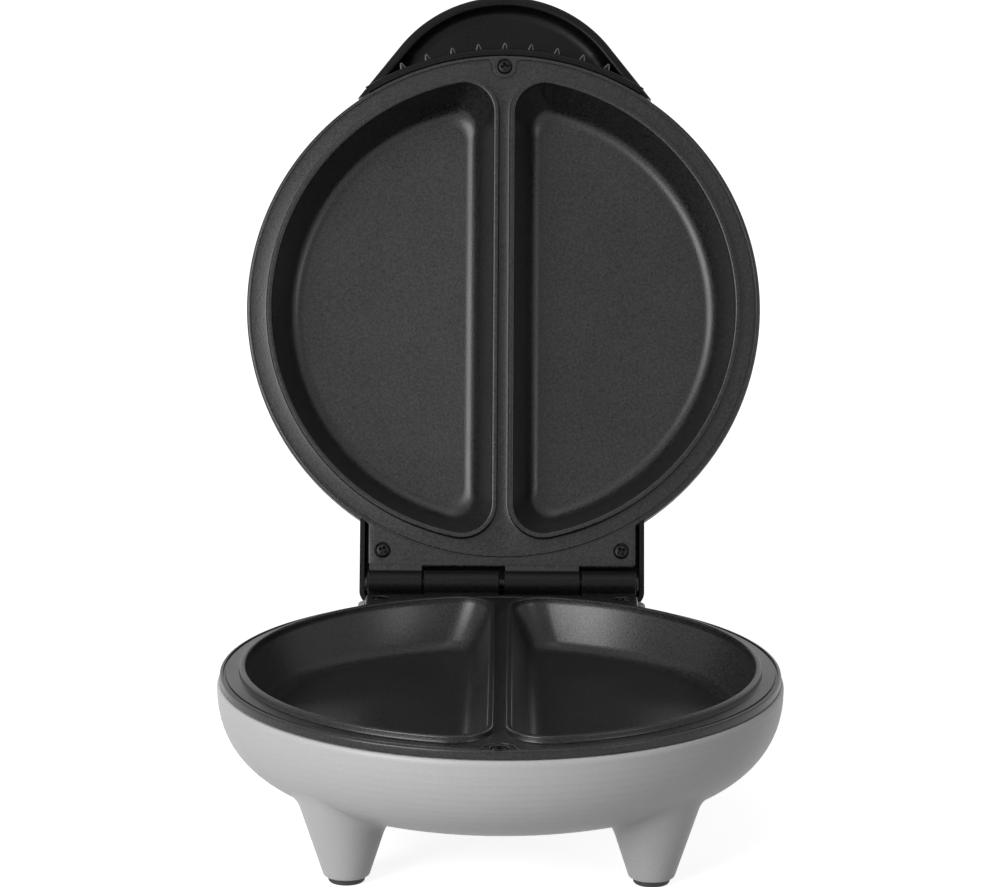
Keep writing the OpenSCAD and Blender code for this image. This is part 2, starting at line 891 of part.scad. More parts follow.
// Screws of the thermostat and of the fuse clip
module sensor_screws() {
    color(steel)
    on_base()
    for (y = [-stat_hole, stat_hole, fuse_y - fuse_hole, fuse_y + fuse_hole])
        translate([0, y, under_z - clamp_t])
            mirror([0, 0, 1]) small_screw(clamp_t + web_h - 1.6);
}

// Terminal block on the floor of the bracket, with three clamping screws
module terminal_block() {
    color("ivory")
    on_base()
    translate([0, block_y - block_d, block_z])
        difference() {
            union() {
                translate([-block_w / 2, 0, 0]) cube([block_w, block_d, block_h - 2]);
                for (x = [-9, 0, 9])
                    translate([x - 3.4, 1.5, 0]) cube([6.8, block_d - 3, block_h]);
            }
            for (x = [-9, 0, 9]) {
                translate([x, block_d / 2, block_h - 3]) cylinder(r = 2.1, h = 3 + eps, $fn = 32);
                translate([x, -eps, 3.5])
                    rotate([-90, 0, 0]) cylinder(r = lead_bend_r + 0.15, h = 4 + eps, $fn = 24);
                translate([x, block_d - 4, 3.5]) rotate([-90, 0, 0]) cylinder(r = 1.6, h = 4 + eps, $fn = 24);
            }
        }
}

// Push-on tag round a cold pin
module pin_tag(s) {
    z = leg_z - tail_len;
    rotate([0, 0, 90 + s * cold_angle])
        translate([element_ring_r, 0, z]) {
            difference() {
                union() {
                    cylinder(r = 2.1, h = tail_len - bush_h - 0.2, $fn = 32);
                    translate([-4, -0.9, 0.2]) cube([4, 1.8, 1.6]);
                }
                translate([0, 0, -eps]) cylinder(r = tail_r + fit, h = tail_len, $fn = 24);
            }
        }
}

// Place of a lead's end at a cold pin's tag
function tag_end(s) = let (a = 90 + s * cold_angle, r = element_ring_r - 4.4)
    [r * cos(a), r * sin(a), leg_z - tail_len + 1];

// Leads of the base: cold pins, thermostat and fuse to the terminal block
module base_leads() {
    low = lead_z;
    blade = under_z - stat_h - 2;
    front = block_y - block_d;
    into = front + 1.6;
    at_z = block_z + 3.5;
    color("gainsboro")
    on_base() {
        pin_tag(1);
        lead([tag_end(1), [-17, front - 22.6, low + 0.6], [-12, front - 10.6, low + 3],
            [-9, front - 5, at_z - 1], [-9, into, at_z]]);
        pin_tag(-1);
        lead([tag_end(-1), [14, 20, low], [8, 3, low + 1], [3.4 + 1.4 * lead_r, 0, blade]]);
        lead([[-3.4 - 1.4 * lead_r, 0, blade], [-9.5, 8, blade + 1], [-9.5, fuse_y - 4, fuse_z - 2],
            [-fuse_len / 2 - 1.4 * lead_r, fuse_y, fuse_z]]);
        lead([[fuse_len / 2 + 1.4 * lead_r, fuse_y, fuse_z], [6, 9, blade + 2], [3, 10, low + 1],
            [3, 24, low], [3, front - 22.6, low + 0.6], [5, front - 10.6, low + 3],
            [9, front - 5, at_z - 1], [9, into, at_z]]);
    }
}

// Bush for the mains cord in the rear wall, its bore left open
module cord_gland() {
    color(black)
    on_base()
    translate([0, bracket_y, gland_z])
        rotate([-90, 0, 0])
            rotate_extrude()
                polygon([[gland_bore, -wall - 1.5], [gland_hole + 0.9, -wall - 1.5],
                    [gland_hole + 0.9, -wall - fit], [gland_hole - fit, -wall - fit],
                    [gland_hole - fit, fit], [gland_flange, fit], [gland_flange, 1.2],
                    [gland_hole - 0.6, 3.4], [gland_bore, 3.4]]);
}

// One rubber pad under a foot
module foot_pad(p) {
    r = 0.8;
    color("dimgray")
    in_depth()
    translate([p[0], p[1], 0])
        rotate_extrude()
            polygon(concat([[0, 0]], arc(pad_r - r, r, r, -90, 0, 3),
                [[pad_r, pad_show + pad_sink], [0, pad_show + pad_sink]]));
}

module foot_pad_front_left() {
    foot_pad(feet[0]);
}

module foot_pad_front_right() {
    foot_pad(feet[1]);
}

module foot_pad_rear_left() {
    foot_pad(feet[2]);
}

module foot_pad_rear_right() {
    foot_pad(feet[3]);
}

module casting_screws() {
    for (p = plate_screws)
        translate([p[0], p[1], -head_sink]) screw(screw_len, screw_r, head_r, head_h);
}

module base_plate_screws() {
    color(steel) on_base() casting_screws();
}

module lid_plate_screws() {
    color(steel) on_lid() casting_screws();
}

// Hinge pin: head on the base's outer knuckle, groove for the retainer at the other end
module hinge_pin() {
    color(steel)
    on_hinge()
        rotate([0, 90, 0])
            rotate_extrude()
                polygon([[0, -knuckle_span - 1.3], [pin_r - 0.3, -knuckle_span - 1.3],
                    [pin_r, -knuckle_span - 1], [pin_r, -knuckle_span - 0.85],
                    [pin_r - 0.4, -knuckle_span - 0.85], [pin_r - 0.4, -knuckle_span - 0.25],
                    [pin_r, -knuckle_span - 0.25], [pin_r, knuckle_span],
                    [pin_r + 1.2, knuckle_span], [pin_r + 1.2, knuckle_span + 0.6],
                    [pin_r + 0.8, knuckle_span + 1], [0, knuckle_span + 1]]);
}

// Open ring sprung into the pin's groove
module pin_retainer() {
    color(steel)
    on_hinge()
    translate([-knuckle_span - 0.8, 0, 0])
        rotate([0, 90, 0])
            rotate([0, 0, 30])
                rotate_extrude(angle = 300)
                    translate([pin_r - 0.35, 0]) square([1.7, 0.5]);
}

// Inner flange of the lid frame, which the lid cover is screwed to
module cover_flange() {
    rotate_extrude()
        polygon([[flange_in, flange_z], [split_in, flange_z], [split_in, split_z],
            [split_out - 0.3, split_z], [split_out - 0.3, flange_z + flange_t],
            [flange_in, flange_z + flange_t]]);
}

module lid_frame() {
    color(black)
    on_lid()
    difference() {
        union() {
            difference() {
                union() {
                    intersection() {
                        bowl_body(0);
                        translate([-bowl_r, -bowl_r, split_z]) cube([2 * bowl_r, 2 * bowl_r, -split_z]);
                    }
                    hood_body(0, hood_edge);
                }
                bowl_hollow();
                hood_body(hood_t, hood_edge + eps);
                translate([0, 0, rim_z]) cylinder(r = plate_r + rim_gap, h = hood_edge - rim_z + eps);
            }
            plate_seat();
            cover_flange();
            intersection() {
                translate([0, -front_screw_y, flange_z]) cylinder(r = boss_r, h = -plate_t - flange_z);
                bowl_body(-rim_gap);
            }
            for (s = [-1, 1])
                translate([s * lug_screw_x, lug_screw_y, split_z + hood_t / 2])
                    cylinder(r = boss_r, h = -plate_t - split_z - hood_t / 2);
        }
        seam_cut();
        for (p = plate_screws)
            translate([p[0], p[1], -plate_t - pilot_len]) cylinder(r = pilot_r, h = pilot_len + eps);
        for (a = cover_angles)
            rotate([0, 0, a])
                translate([post_at, 0, flange_z - eps]) cylinder(r = small_r + 0.2, h = flange_t + 2 * eps);
        for (s = [-1, 1])
            rotate([0, 0, s * handle_screw_turn - 90]) {
                translate([bowl_r - 2 * wall, 0, handle_screw_z])
                    rotate([0, 90, 0]) cylinder(r = small_r + 0.2, h = 3 * wall, $fn = 32);
                translate([handle_screw_at - wall, 0, handle_screw_z])
                    rotate([0, 90, 0]) cylinder(r = handle_spot_r, h = wall, $fn = 32);
            }
    }
}

// Plan outline of the handle's top, drawn smaller by inset
module visor_outline(inset) {
    r = handle_r - inset;
    x0 = r * sin(flank_turn);
    y0 = -arc_y - r * cos(flank_turn);
    x1 = x0 + flank_len * cos(flank_turn);
    y1 = y0 + flank_len * sin(flank_turn);
    translate([0, -arc_y]) circle(r = r);
    polygon([[-x1, y1], [-x0, y0], [x0, y0], [x1, y1]]);
}

// Section of the lip, as [radius, height] about the middle of the handle's arc
module lip_section() {
    r = 2;
    e = 1.2;
    near = visor_z + lip_h;
    polygon(concat([[handle_r - lip_w, visor_z]], arc(handle_r - r, visor_z + r, r, -90, 0, 4),
        arc(handle_r - e, near - e, e, 0, 90, 3), arc(handle_r - lip_w + e, near - e, e, 90, 180, 3)));
}

module handle() {
    color(black)
    on_lid()
    difference() {
        union() {
            difference() {
                translate([0, 0, visor_z + lip_proud])
                    linear_extrude(handle_t - lip_proud) visor_outline(lip_w / 2 + 1);
                translate([0, 0, visor_z - eps]) cylinder(r = plate_r - 3, h = handle_t + 2 * eps);
                translate([-plate_r, -plate_r * cos(handle_half), visor_z - eps])
                    cube([2 * plate_r, plate_r, handle_t + 2 * eps]);
            }
            difference() {
                translate([0, -arc_y, 0]) {
                    rotate([0, 0, -90 - flank_turn]) rotate_extrude(angle = 2 * flank_turn) lip_section();
                    both_sides()
                        rotate([0, 0, flank_turn - 90])
                            translate([0, flank_len, 0])
                                rotate([90, 0, 0]) linear_extrude(flank_len) lip_section();
                }
                translate([-plate_r, -plate_r * cos(handle_half), visor_z - eps])
                    cube([2 * plate_r, plate_r, lip_h + 2 * eps]);
            }
            rotate([0, 0, -90 - handle_half])
                rotate_extrude(angle = 2 * handle_half)
                    polygon(concat([[plate_r + rim_gap + 0.1, boss_far]],
                        arc(boss_out - 0.8, boss_far + 0.8, 0.8, -90, 0, 3),
                        arc(boss_out - 0.8, boss_near - 0.8, 0.8, 0, 90, 3),
                        [[plate_r + rim_gap + 0.1, boss_near]]));
            for (i = [0:ridge_count - 1])
                rotate([0, 0, (i - (ridge_count - 1) / 2) * ridge_pitch - 90])
                    translate([boss_out, 0, visor_z + handle_t / 2])
                        linear_extrude(boss_near - visor_z - handle_t / 2 - 0.8)
                            polygon([[-0.6, -ridge_half - 0.4], [ridge_h, -0.25], [ridge_h, 0.25],
                                [-0.6, ridge_half + 0.4]]);
        }
        bowl_body(-fit);
        for (s = [-1, 1])
            rotate([0, 0, s * handle_screw_turn - 90])
                translate([bowl_r - 2 * wall, 0, handle_screw_z])
                    rotate([0, 90, 0]) cylinder(r = small_r + fit, h = handle_screw_len + wall + 0.3, $fn = 32);
    }
}

module handle_screws() {
    color(steel)
    on_lid()
    for (s = [-1, 1])
        rotate([0, 0, s * handle_screw_turn - 90])
            translate([handle_screw_at, 0, handle_screw_z])
                rotate([0, -90, 0]) small_screw(handle_screw_len);
}

// Silver dome that closes the lid
module lid_cover() {
    bevel = 0.3;
    t_out = bowl_turn(split_z - bevel, 0);
    color(silver)
    on_lid()
    difference() {
        union() {
            difference() {
                rotate_extrude()
                    polygon(concat([[0, split_z], [split_out - bevel, split_z]],
                        bowl_section(0, t_out, 90), [[0, bowl_z]]));
                bowl_hollow();
            }
            ring(split_in - spigot_play - spigot_t, split_in - spigot_play, split_z - 4.2, flange_z);
            intersection() {
                for (a = cover_angles)
                    rotate([0, 0, a])
                        translate([post_at, 0, bowl_z])
                            cylinder(r = post_r, h = flange_z - bowl_z);
                bowl_body(0);
            }
            for (s = [-1, 1])
                translate([s * holder_peg_x, holder_y, inner_z - 1]) cylinder(r = 1.5, h = 3.4, $fn = 32);
        }
        for (a = cover_angles)
            rotate([0, 0, a])
                translate([post_at, 0, flange_z - cover_screw_len + 1])
                    cylinder(r = small_r + fit, h = cover_screw_len, $fn = 32);
        for (s = [-1, 1])
            translate([s * lens_x, -lens_y, bowl_z - eps]) cylinder(r = lens_r + 0.1, h = wall + 2 * eps);
    }
}

module lid_cover_screws() {
    color(steel)
    on_lid()
    for (a = cover_angles)
        rotate([0, 0, a])
            translate([post_at, 0, flange_z + flange_t]) small_screw(cover_screw_len);
}

// Lens with a domed face and a flange inside the cover
module lens(x) {
    on_lid()
    translate([x, -lens_y, 0])
        rotate_extrude()
            polygon(concat([[0, bowl_z - 1.2]],
                [for (a = [60:-15:15]) [lens_r * cos(a) + 0.1, bowl_z - 1.2 * sin(a)]],
                [[lens_r, bowl_z], [lens_r, inner_z], [lens_r + 1.1, inner_z],
                    [lens_r + 1.1, inner_z + 0.9], [0, inner_z + 0.9]]));
}

module power_lens() {
    color("red") lens(lens_x);
}

module ready_lens() {
    color("green") lens(-lens_x);
}

// Neon lamp over a lens, round at its front end
module lamp(x) {
    y0 = -lens_y - 3;
    on_lid() {
        translate([x, y0 + lamp_r, lamp_z]) sphere(r = lamp_r, $fn = 32);
        translate([x, y0 + lamp_r, lamp_z])
            rotate([-90, 0, 0]) cylinder(r = lamp_r, h = lamp_len - lamp_r, $fn = 32);
    }
}

module power_lamp() {
    color("orange") lamp(lens_x);
}

module ready_lamp() {
    color("lightgreen") lamp(-lens_x);
}

// Bar on two pegs of the cover that holds both lamps
module lamp_holder() {
    half = lens_x + lamp_r + 2;
    low = inner_z + 2.1;
    color("ivory")
    on_lid()
    difference() {
        union() {
            translate([-half, holder_y - holder_w / 2, inner_z]) cube([2 * half, holder_w, low - inner_z]);
            for (s = [-1, 1])
                translate([s * lens_x - lamp_r - 1, holder_y - holder_w / 2, inner_z])
                    cube([2 * lamp_r + 2, holder_w, lamp_z + 1 - inner_z]);
        }
        for (s = [-1, 1]) {
            translate([s * lens_x, holder_y - holder_w, lamp_z])
                rotate([-90, 0, 0]) cylinder(r = lamp_r + fit, h = 2 * holder_w, $fn = 32);
            translate([s * holder_peg_x, holder_y, inner_z - eps]) cylinder(r = 1.5 + fit, h = 5, $fn = 32);
        }
    }
}

// Leads of the lid: cold pins to the lamps
module lid_leads() {
    low = lead_z;
    end = lamp_len - lens_y - 3 + 1.4 * lead_r;
    color("gainsboro")
    on_lid()
    for (s = [-1, 1]) {
        pin_tag(s);
        lead([tag_end(s), [-s * 14, 30, low], [-s * 10, 0, low], [-s * lens_x, end, lamp_z]]);
    }
}

lower_shell();
base_plate();
base_element();
base_element_bushes();
base_element_clamps();
base_clamp_screws();
base_reflector();
base_reflector_screws();
thermostat();
sensor_screws();
thermal_fuse();
fuse_clip();
terminal_block();
base_leads();
cord_gland();
foot_pad_front_left();
foot_pad_front_right();
foot_pad_rear_left();
foot_pad_rear_right();
base_plate_screws();
hinge_pin();
pin_retainer();
lid_plate();
lid_element();
lid_element_bushes();
lid_element_clamps();
lid_clamp_screws();
lid_reflector();
lid_reflector_screws();
lid_frame();
lid_plate_screws();
handle();
handle_screws();
lid_cover();
lid_cover_screws();
power_lens();
ready_lens();
power_lamp();
ready_lamp();
lamp_holder();
lid_leads();
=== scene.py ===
# %% [markdown]
# # An electric omelette maker, dressed for its picture
# The object is a round countertop cooker: a silver bowl on four cone feet, two black cast plates
# with half-moon pockets, and a lid that stands open on one hinge pin. The solids of every piece
# come from the CAD frame. This script gives them their finishes, and it models again, with finer
# curves and small detail, those pieces that the eye goes to first.

# %% Load the frame
import json
import math
import bmesh
import bpy
from mathutils import Matrix, Quaternion, Vector
from mathutils.bvhtree import BVHTree


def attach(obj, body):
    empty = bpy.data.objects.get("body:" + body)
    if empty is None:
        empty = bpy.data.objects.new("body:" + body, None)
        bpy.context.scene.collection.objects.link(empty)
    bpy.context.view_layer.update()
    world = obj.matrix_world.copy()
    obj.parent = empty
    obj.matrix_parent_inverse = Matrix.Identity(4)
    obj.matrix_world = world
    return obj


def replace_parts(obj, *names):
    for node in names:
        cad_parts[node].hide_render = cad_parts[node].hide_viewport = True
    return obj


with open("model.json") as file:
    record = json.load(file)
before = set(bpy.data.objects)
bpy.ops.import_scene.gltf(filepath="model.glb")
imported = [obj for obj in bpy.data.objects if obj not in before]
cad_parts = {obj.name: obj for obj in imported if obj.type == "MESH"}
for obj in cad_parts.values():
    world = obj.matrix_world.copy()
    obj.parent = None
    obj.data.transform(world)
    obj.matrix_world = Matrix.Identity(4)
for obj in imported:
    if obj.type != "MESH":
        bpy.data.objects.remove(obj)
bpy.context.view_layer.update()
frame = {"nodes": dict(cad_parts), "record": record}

# %% [markdown]
# ## The camera
# The photograph was taken from the front and a little above with a long lens: the two plates look
# almost like true ellipses. A long lens from far away keeps those ellipses, so the camera stands
# 1.3 m off, and looks down by 12 degrees at a point between the base and the lid. It was held a
# quarter of a degree out of level, which shows where the two front feet end.

# %% Camera: metres, degrees, and a lens for a sensor 36 mm wide
TARGET = Vector((-0.0007, -0.027, 0.1465))
DISTANCE = 1.3225
ELEVATION = 12.2
AZIMUTH = 0.21
ROLL = 0.27
LENS = 123.41
SENSOR = 36


def direction(azimuth, elevation):
    """Unit vector from the object to a viewer or a lamp, in degrees. Azimuth 0 is the front."""
    a, e = math.radians(azimuth), math.radians(elevation)
    return Vector((math.sin(a) * math.cos(e), -math.cos(a) * math.cos(e), math.sin(e)))


back = direction(AZIMUTH, ELEVATION)
camera_data = bpy.data.cameras.new("camera")
camera_data.lens = LENS
camera_data.sensor_width = SENSOR
camera = bpy.data.objects.new("camera", camera_data)
camera.location = TARGET + DISTANCE * back
turn = back.to_track_quat("Z", "Y") @ Quaternion((0, 0, 1), math.radians(ROLL))
camera.rotation_euler = turn.to_euler()
bpy.context.scene.collection.objects.link(camera)
bpy.context.scene.camera = camera
print("camera at", [round(c, 3) for c in camera.location])

# %% [markdown]
# ## The studio
# Product pictures of this kind stand on white. The floor gives a white of its own to the camera
# and to mirror rays, through Light Path, and its matt part still takes the soft shadow. So the
# lamps can stay at a plain level. The big lamp at the left front lights the silver bowl, as the
# photograph shows, a weaker one at the right front gives the second edge of light in the pockets,
# and a third from above lights the rims. The world grows lighter behind the object, where the
# photograph doesn't look, so that its back can be judged too, without a lamp that would glare on
# the flat lands.

# %% Helpers for node trees
def new_material(name):
    """A material with its node tree and its main shader."""
    material = bpy.data.materials.new(name)
    material.use_nodes = True
    return material, material.node_tree, material.node_tree.nodes["Principled BSDF"]


def joined(tree, operation, a, b):
    """One Math node over two values."""
    node = tree.nodes.new("ShaderNodeMath")
    node.operation = operation
    tree.links.new(a, node.inputs[0])
    tree.links.new(b, node.inputs[1])
    return node.outputs[0]


def spread(tree, value, low, high, to_low, to_high):
    """Maps a value from low..high to to_low..to_high."""
    ramp = tree.nodes.new("ShaderNodeMapRange")
    ends = {"From Min": low, "From Max": high, "To Min": to_low, "To Max": to_high}
    for name, end in ends.items():
        ramp.inputs[name].default_value = end
    tree.links.new(value, ramp.inputs["Value"])
    return ramp.outputs[0]


print("helpers for node trees ready")

# %% The floor's material: white to the camera, matt to everything else
GLOW_NEAR, NEAR_R = 0.86, 0.25
GLOW_FAR, FAR_R = 1.0, 0.8
MATT_GREY = (0.5, 0.5, 0.5, 1)


def floor_material():
    material, tree, principled = new_material("studio_floor")
    tree.nodes.remove(principled)
    path = tree.nodes.new("ShaderNodeLightPath")
    seen = joined(tree, "MAXIMUM", path.outputs["Is Camera Ray"], path.outputs["Is Glossy Ray"])
    matt = tree.nodes.new("ShaderNodeBsdfDiffuse")
    matt.inputs["Color"].default_value = MATT_GREY
    place = tree.nodes.new("ShaderNodeTexCoord")
    distance = tree.nodes.new("ShaderNodeVectorMath")
    distance.operation = "LENGTH"
    tree.links.new(place.outputs["Object"], distance.inputs[0])
    glow = tree.nodes.new("ShaderNodeEmission")
    rise = spread(tree, distance.outputs["Value"], NEAR_R, FAR_R, GLOW_NEAR, GLOW_FAR)
    tree.links.new(rise, glow.inputs["Strength"])
    both = tree.nodes.new("ShaderNodeAddShader")
    tree.links.new(matt.outputs[0], both.inputs[0])
    tree.links.new(glow.outputs[0], both.inputs[1])
    mix = tree.nodes.new("ShaderNodeMixShader")
    for number, output in enumerate((seen, matt.outputs[0], both.outputs[0])):
        tree.links.new(output, mix.inputs[number])
    tree.links.new(mix.outputs[0], tree.nodes["Material Output"].inputs["Surface"])
    return material


print("glow of the floor:", GLOW_NEAR, "under the object,", GLOW_FAR, "from", FAR_R, "m on")

# %% The floor: a wide disc, a hair below the rubber pads
FLOOR_R = 9.0
FLOOR_GAP = 0.0002
bm = bmesh.new()
bmesh.ops.create_circle(bm, cap_ends=True, segments=96, radius=FLOOR_R)
mesh = bpy.data.meshes.new("floor")
bm.to_mesh(mesh)
bm.free()
floor = bpy.data.objects.new("floor", mesh)
floor.location = (0, 0, -FLOOR_GAP)
floor.data.materials.append(floor_material())
bpy.context.scene.collection.objects.link(floor)
print("floor made,", 2 * FLOOR_R, "m across")

# %% Plain view of the colours
bpy.context.scene.view_settings.view_transform = "Standard"
print("view:", bpy.context.scene.view_settings.view_transform)

# %% World: white to the camera, soft grey light for the object
AMBIENT_FRONT, FRONT_Y = 0.09, 0.1
AMBIENT_BACK, BACK_Y = 0.75, 0.9
world = bpy.data.worlds.new("studio")
bpy.context.scene.world = world
world.use_nodes = True
sky = world.node_tree
path = sky.nodes.new("ShaderNodeLightPath")
clear = joined(sky, "MAXIMUM", path.outputs["Is Camera Ray"], path.outputs["Is Transmission Ray"])
seen = joined(sky, "MAXIMUM", clear, path.outputs["Is Glossy Ray"])
place = sky.nodes.new("ShaderNodeTexCoord")
parts = sky.nodes.new("ShaderNodeSeparateXYZ")
sky.links.new(place.outputs["Generated"], parts.inputs[0])
ambient = spread(sky, parts.outputs["Y"], FRONT_Y, BACK_Y, AMBIENT_FRONT, AMBIENT_BACK)
strength = sky.nodes.new("ShaderNodeMapRange")
sky.links.new(seen, strength.inputs["Value"])
sky.links.new(ambient, strength.inputs["To Min"])
strength.inputs["To Max"].default_value = 1.0
background = sky.nodes["Background"]
background.inputs["Color"].default_value = (1, 1, 1, 1)
sky.links.new(strength.outputs[0], background.inputs["Strength"])
print("world set: light", AMBIENT_FRONT, "in front and", AMBIENT_BACK, "behind")

# %% Lamps: metres, degrees and watts
LAMP_AIM = Vector((0, 0, 0.13))
LAMP_DISTANCE = 1.5


def soft_lamp(name, azimuth, elevation, size, power):
    """A square soft lamp that faces the middle of the object."""
    out = direction(azimuth, elevation)
    data = bpy.data.lights.new(name, "AREA")
    data.size = size
    data.energy = power
    lamp = bpy.data.objects.new(name, data)
    lamp.location = LAMP_AIM + LAMP_DISTANCE * out
    lamp.rotation_euler = out.to_track_quat("Z", "Y").to_euler()
    bpy.context.scene.collection.objects.link(lamp)
    print(name, "of", power, "W")


soft_lamp("lamp_left", azimuth=-40, elevation=20, size=0.9, power=26)
soft_lamp("lamp_right", azimuth=50, elevation=16, size=0.35, power=2.8)
soft_lamp("lamp_top", azimuth=0, elevation=72, size=0.9, power=3)

# %% [markdown]
# ## Finishes
# Every material is built from nodes on Object coordinates, so its pattern stays on the piece when
# the lid turns. A fine noise drives the colour, the bump and the roughness, and a wide, slow noise
# changes the gloss a little from place to place, as hands and cloths do on a used appliance.

# %% Helper: a finish with grain and wear
finishes = {}
GRAIN_DEPTH = 0.0001
GRAIN_GLOSS = 0.04
WEAR_SCALE = 38
WEAR_GLOSS = 0.03
NOISE_LOW, NOISE_HIGH = 0.3, 0.7


def noise(tree, scale, detail):
    place = tree.nodes.new("ShaderNodeTexCoord")
    grain = tree.nodes.new("ShaderNodeTexNoise")
    grain.inputs["Scale"].default_value = scale
    grain.inputs["Detail"].default_value = detail
    tree.links.new(place.outputs["Object"], grain.inputs["Vector"])
    return grain.outputs["Fac"]


def add_finish(name, dark, light, rough, grain, bump, metallic=0.0, **sockets):
    """A finish whose colour, roughness and relief follow one grain, with slow wear over it."""
    material, tree, principled = new_material(name)
    principled.inputs["Metallic"].default_value = metallic
    for key, value in sockets.items():
        principled.inputs[key.replace("_", " ")].default_value = value
    fine = noise(tree, grain, detail=2.0)
    slow = noise(tree, WEAR_SCALE, detail=3.0)
    mix = tree.nodes.new("ShaderNodeMix")
    mix.data_type = "RGBA"
    mix.inputs["A"].default_value = (*dark, 1)
    mix.inputs["B"].default_value = (*light, 1)
    tree.links.new(spread(tree, fine, NOISE_LOW, NOISE_HIGH, 0, 1), mix.inputs["Factor"])
    tree.links.new(mix.outputs["Result"], principled.inputs["Base Color"])
    gloss = spread(tree, fine, NOISE_LOW, NOISE_HIGH, rough - GRAIN_GLOSS, rough + GRAIN_GLOSS)
    wear = spread(tree, slow, NOISE_LOW, NOISE_HIGH, -WEAR_GLOSS, WEAR_GLOSS)
    tree.links.new(joined(tree, "ADD", gloss, wear), principled.inputs["Roughness"])
    relief = tree.nodes.new("ShaderNodeBump")
    relief.inputs["Strength"].default_value = bump
    relief.inputs["Distance"].default_value = GRAIN_DEPTH
    tree.links.new(fine, relief.inputs["Height"])
    tree.links.new(relief.outputs[0], principled.inputs["Normal"])
    finishes[name] = material


def grey(low, high):
    """The dark and the light colour of a grey finish, a trace bluer where it is light."""
    return (low, low, low), (high, high, high * 1.01)


print("helper for finishes ready")

# %% The finishes of the outside: silver paint, non-stick coating, black plastic
add_finish("silver_shell", *grey(0.355, 0.405), rough=0.45, grain=2600, bump=0.10, metallic=0.05,
           Specular_IOR_Level=0.12)
add_finish("coated_plate", *grey(0.0, 0.018), rough=0.33, grain=1150, bump=0.45,
           Specular_IOR_Level=0.33)
# The knuckles' coat: the plates' own coat, painted darker as shade, and with less shine
add_finish("knuckle_shaded_coat", *grey(0.0005, 0.006), rough=0.36, grain=1500, bump=0.3,
           Specular_IOR_Level=0.12)
add_finish("black_plastic", *grey(0.0005, 0.004), rough=0.34, grain=1700, bump=0.40,
           Specular_IOR_Level=0.12)
# A lighter grey plastic: a painted highlight for the edges and sides of the grip's ridges
add_finish("ridge_highlight_plastic", *grey(0.03, 0.10), rough=0.30, grain=2200, bump=0.20)
add_finish("screw_steel", *grey(0.001, 0.005), rough=0.38, grain=900, bump=0.10,
           Specular_IOR_Level=0.2)
add_finish("pin_steel", *grey(0.015, 0.03), rough=0.4, grain=700, bump=0.05, metallic=0.6,
           Specular_IOR_Level=0.3)
add_finish("rubber", *grey(0.008, 0.016), rough=0.62, grain=1500, bump=0.2)
for name, dark, light in (("red_lens", (0.45, 0.01, 0.01), (0.55, 0.03, 0.02)),
                          ("green_lens", (0.01, 0.3, 0.05), (0.03, 0.4, 0.08))):
    add_finish(name, dark, light, rough=0.12, grain=500, bump=0.02, Transmission_Weight=0.6)
print("outside finishes:", sorted(finishes))

# %% The finishes of the inside, and every node's own finish
add_finish("element_tube", (0.2, 0.18, 0.16), (0.34, 0.31, 0.28), rough=0.45, grain=800, bump=0.15,
           metallic=0.9)
add_finish("reflector_sheet", *grey(0.68, 0.78), rough=0.25, grain=300, bump=0.05, metallic=1.0)
add_finish("plated_strip", (0.55, 0.54, 0.5), (0.66, 0.65, 0.6), rough=0.3, grain=600, bump=0.06,
           metallic=1.0)
add_finish("ceramic", (0.66, 0.62, 0.5), (0.78, 0.74, 0.62), rough=0.6, grain=1200, bump=0.12)
add_finish("lead_sleeve", (0.6, 0.57, 0.5), (0.75, 0.72, 0.65), rough=0.75, grain=2500, bump=0.3)
add_finish("lamp_glass", (0.9, 0.8, 0.7), (0.95, 0.86, 0.76), rough=0.08, grain=500, bump=0.01,
           Transmission_Weight=1.0)
add_finish("holder_plastic", *grey(0.66, 0.74), rough=0.5, grain=900, bump=0.08)
slot_of = {s["node"]: s["material_slot"] for s in frame["record"]["subparts"]}
for name, piece in frame["nodes"].items():
    piece.data.materials.clear()
    piece.data.materials.append(finishes[slot_of[name]])
print(len(finishes), "finishes on", len(frame["nodes"]), "nodes")

# %% [markdown]
# ## Two places to build in
# Base and lid carry the same casting, so it is drawn once, in a frame of its own: Z = 0 is the
# flat land of the plate, and +Z points to the other half. Two matrices then set it down. The
# base's only lifts it, and the lid's turns it over and opens it about the hinge axis that the
# frame gives.

# %% The two matrices: the hinge lies HINGE_Y behind a plate's middle and HINGE_H above its land
MM = 0.001
HINGE_Y = 116.8 * MM
HINGE_H = 2.7 * MM
joint = frame["record"]["behaviour"]["joints"][0]
AXIS = Vector(joint["pos_m"])
OPEN = math.radians(joint["range_deg"][1])
in_base = Matrix.Translation(AXIS - Vector((0, HINGE_Y, HINGE_H)))
in_lid = (Matrix.Translation(AXIS) @ Matrix.Rotation(-OPEN, 4, "X")
          @ Matrix.Translation((0, -HINGE_Y, HINGE_H)) @ Matrix.Rotation(math.pi, 4, "Y"))
print("land of the base at", round(in_base.translation.z / MM, 2), "mm")

# %% Helper: make a finished piece from a bmesh
def place_piece(name, bm, finish, node, place, sharp=30, smooth=True):
    """Makes the mesh a piece at the origin, in the finish and on the body of a CAD node."""
    if place is not None:
        bmesh.ops.transform(bm, matrix=place, verts=bm.verts)
    bmesh.ops.recalc_face_normals(bm, faces=bm.faces)
    mesh = bpy.data.meshes.new(name)
    bm.to_mesh(mesh)
    bm.free()
    if smooth:
        mesh.shade_smooth()
    mesh.set_sharp_from_angle(angle=math.radians(sharp))
    piece = bpy.data.objects.new(name, mesh)
    piece.data.materials.append(finishes[finish])
    bpy.context.scene.collection.objects.link(piece)
    body = next(b for b, row in frame["record"]["behaviour"]["bodies"].items() if node in row)
    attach(piece, body)
    print(name, "on", body, len(mesh.polygons), "faces")
    return piece


print("helper for pieces ready")

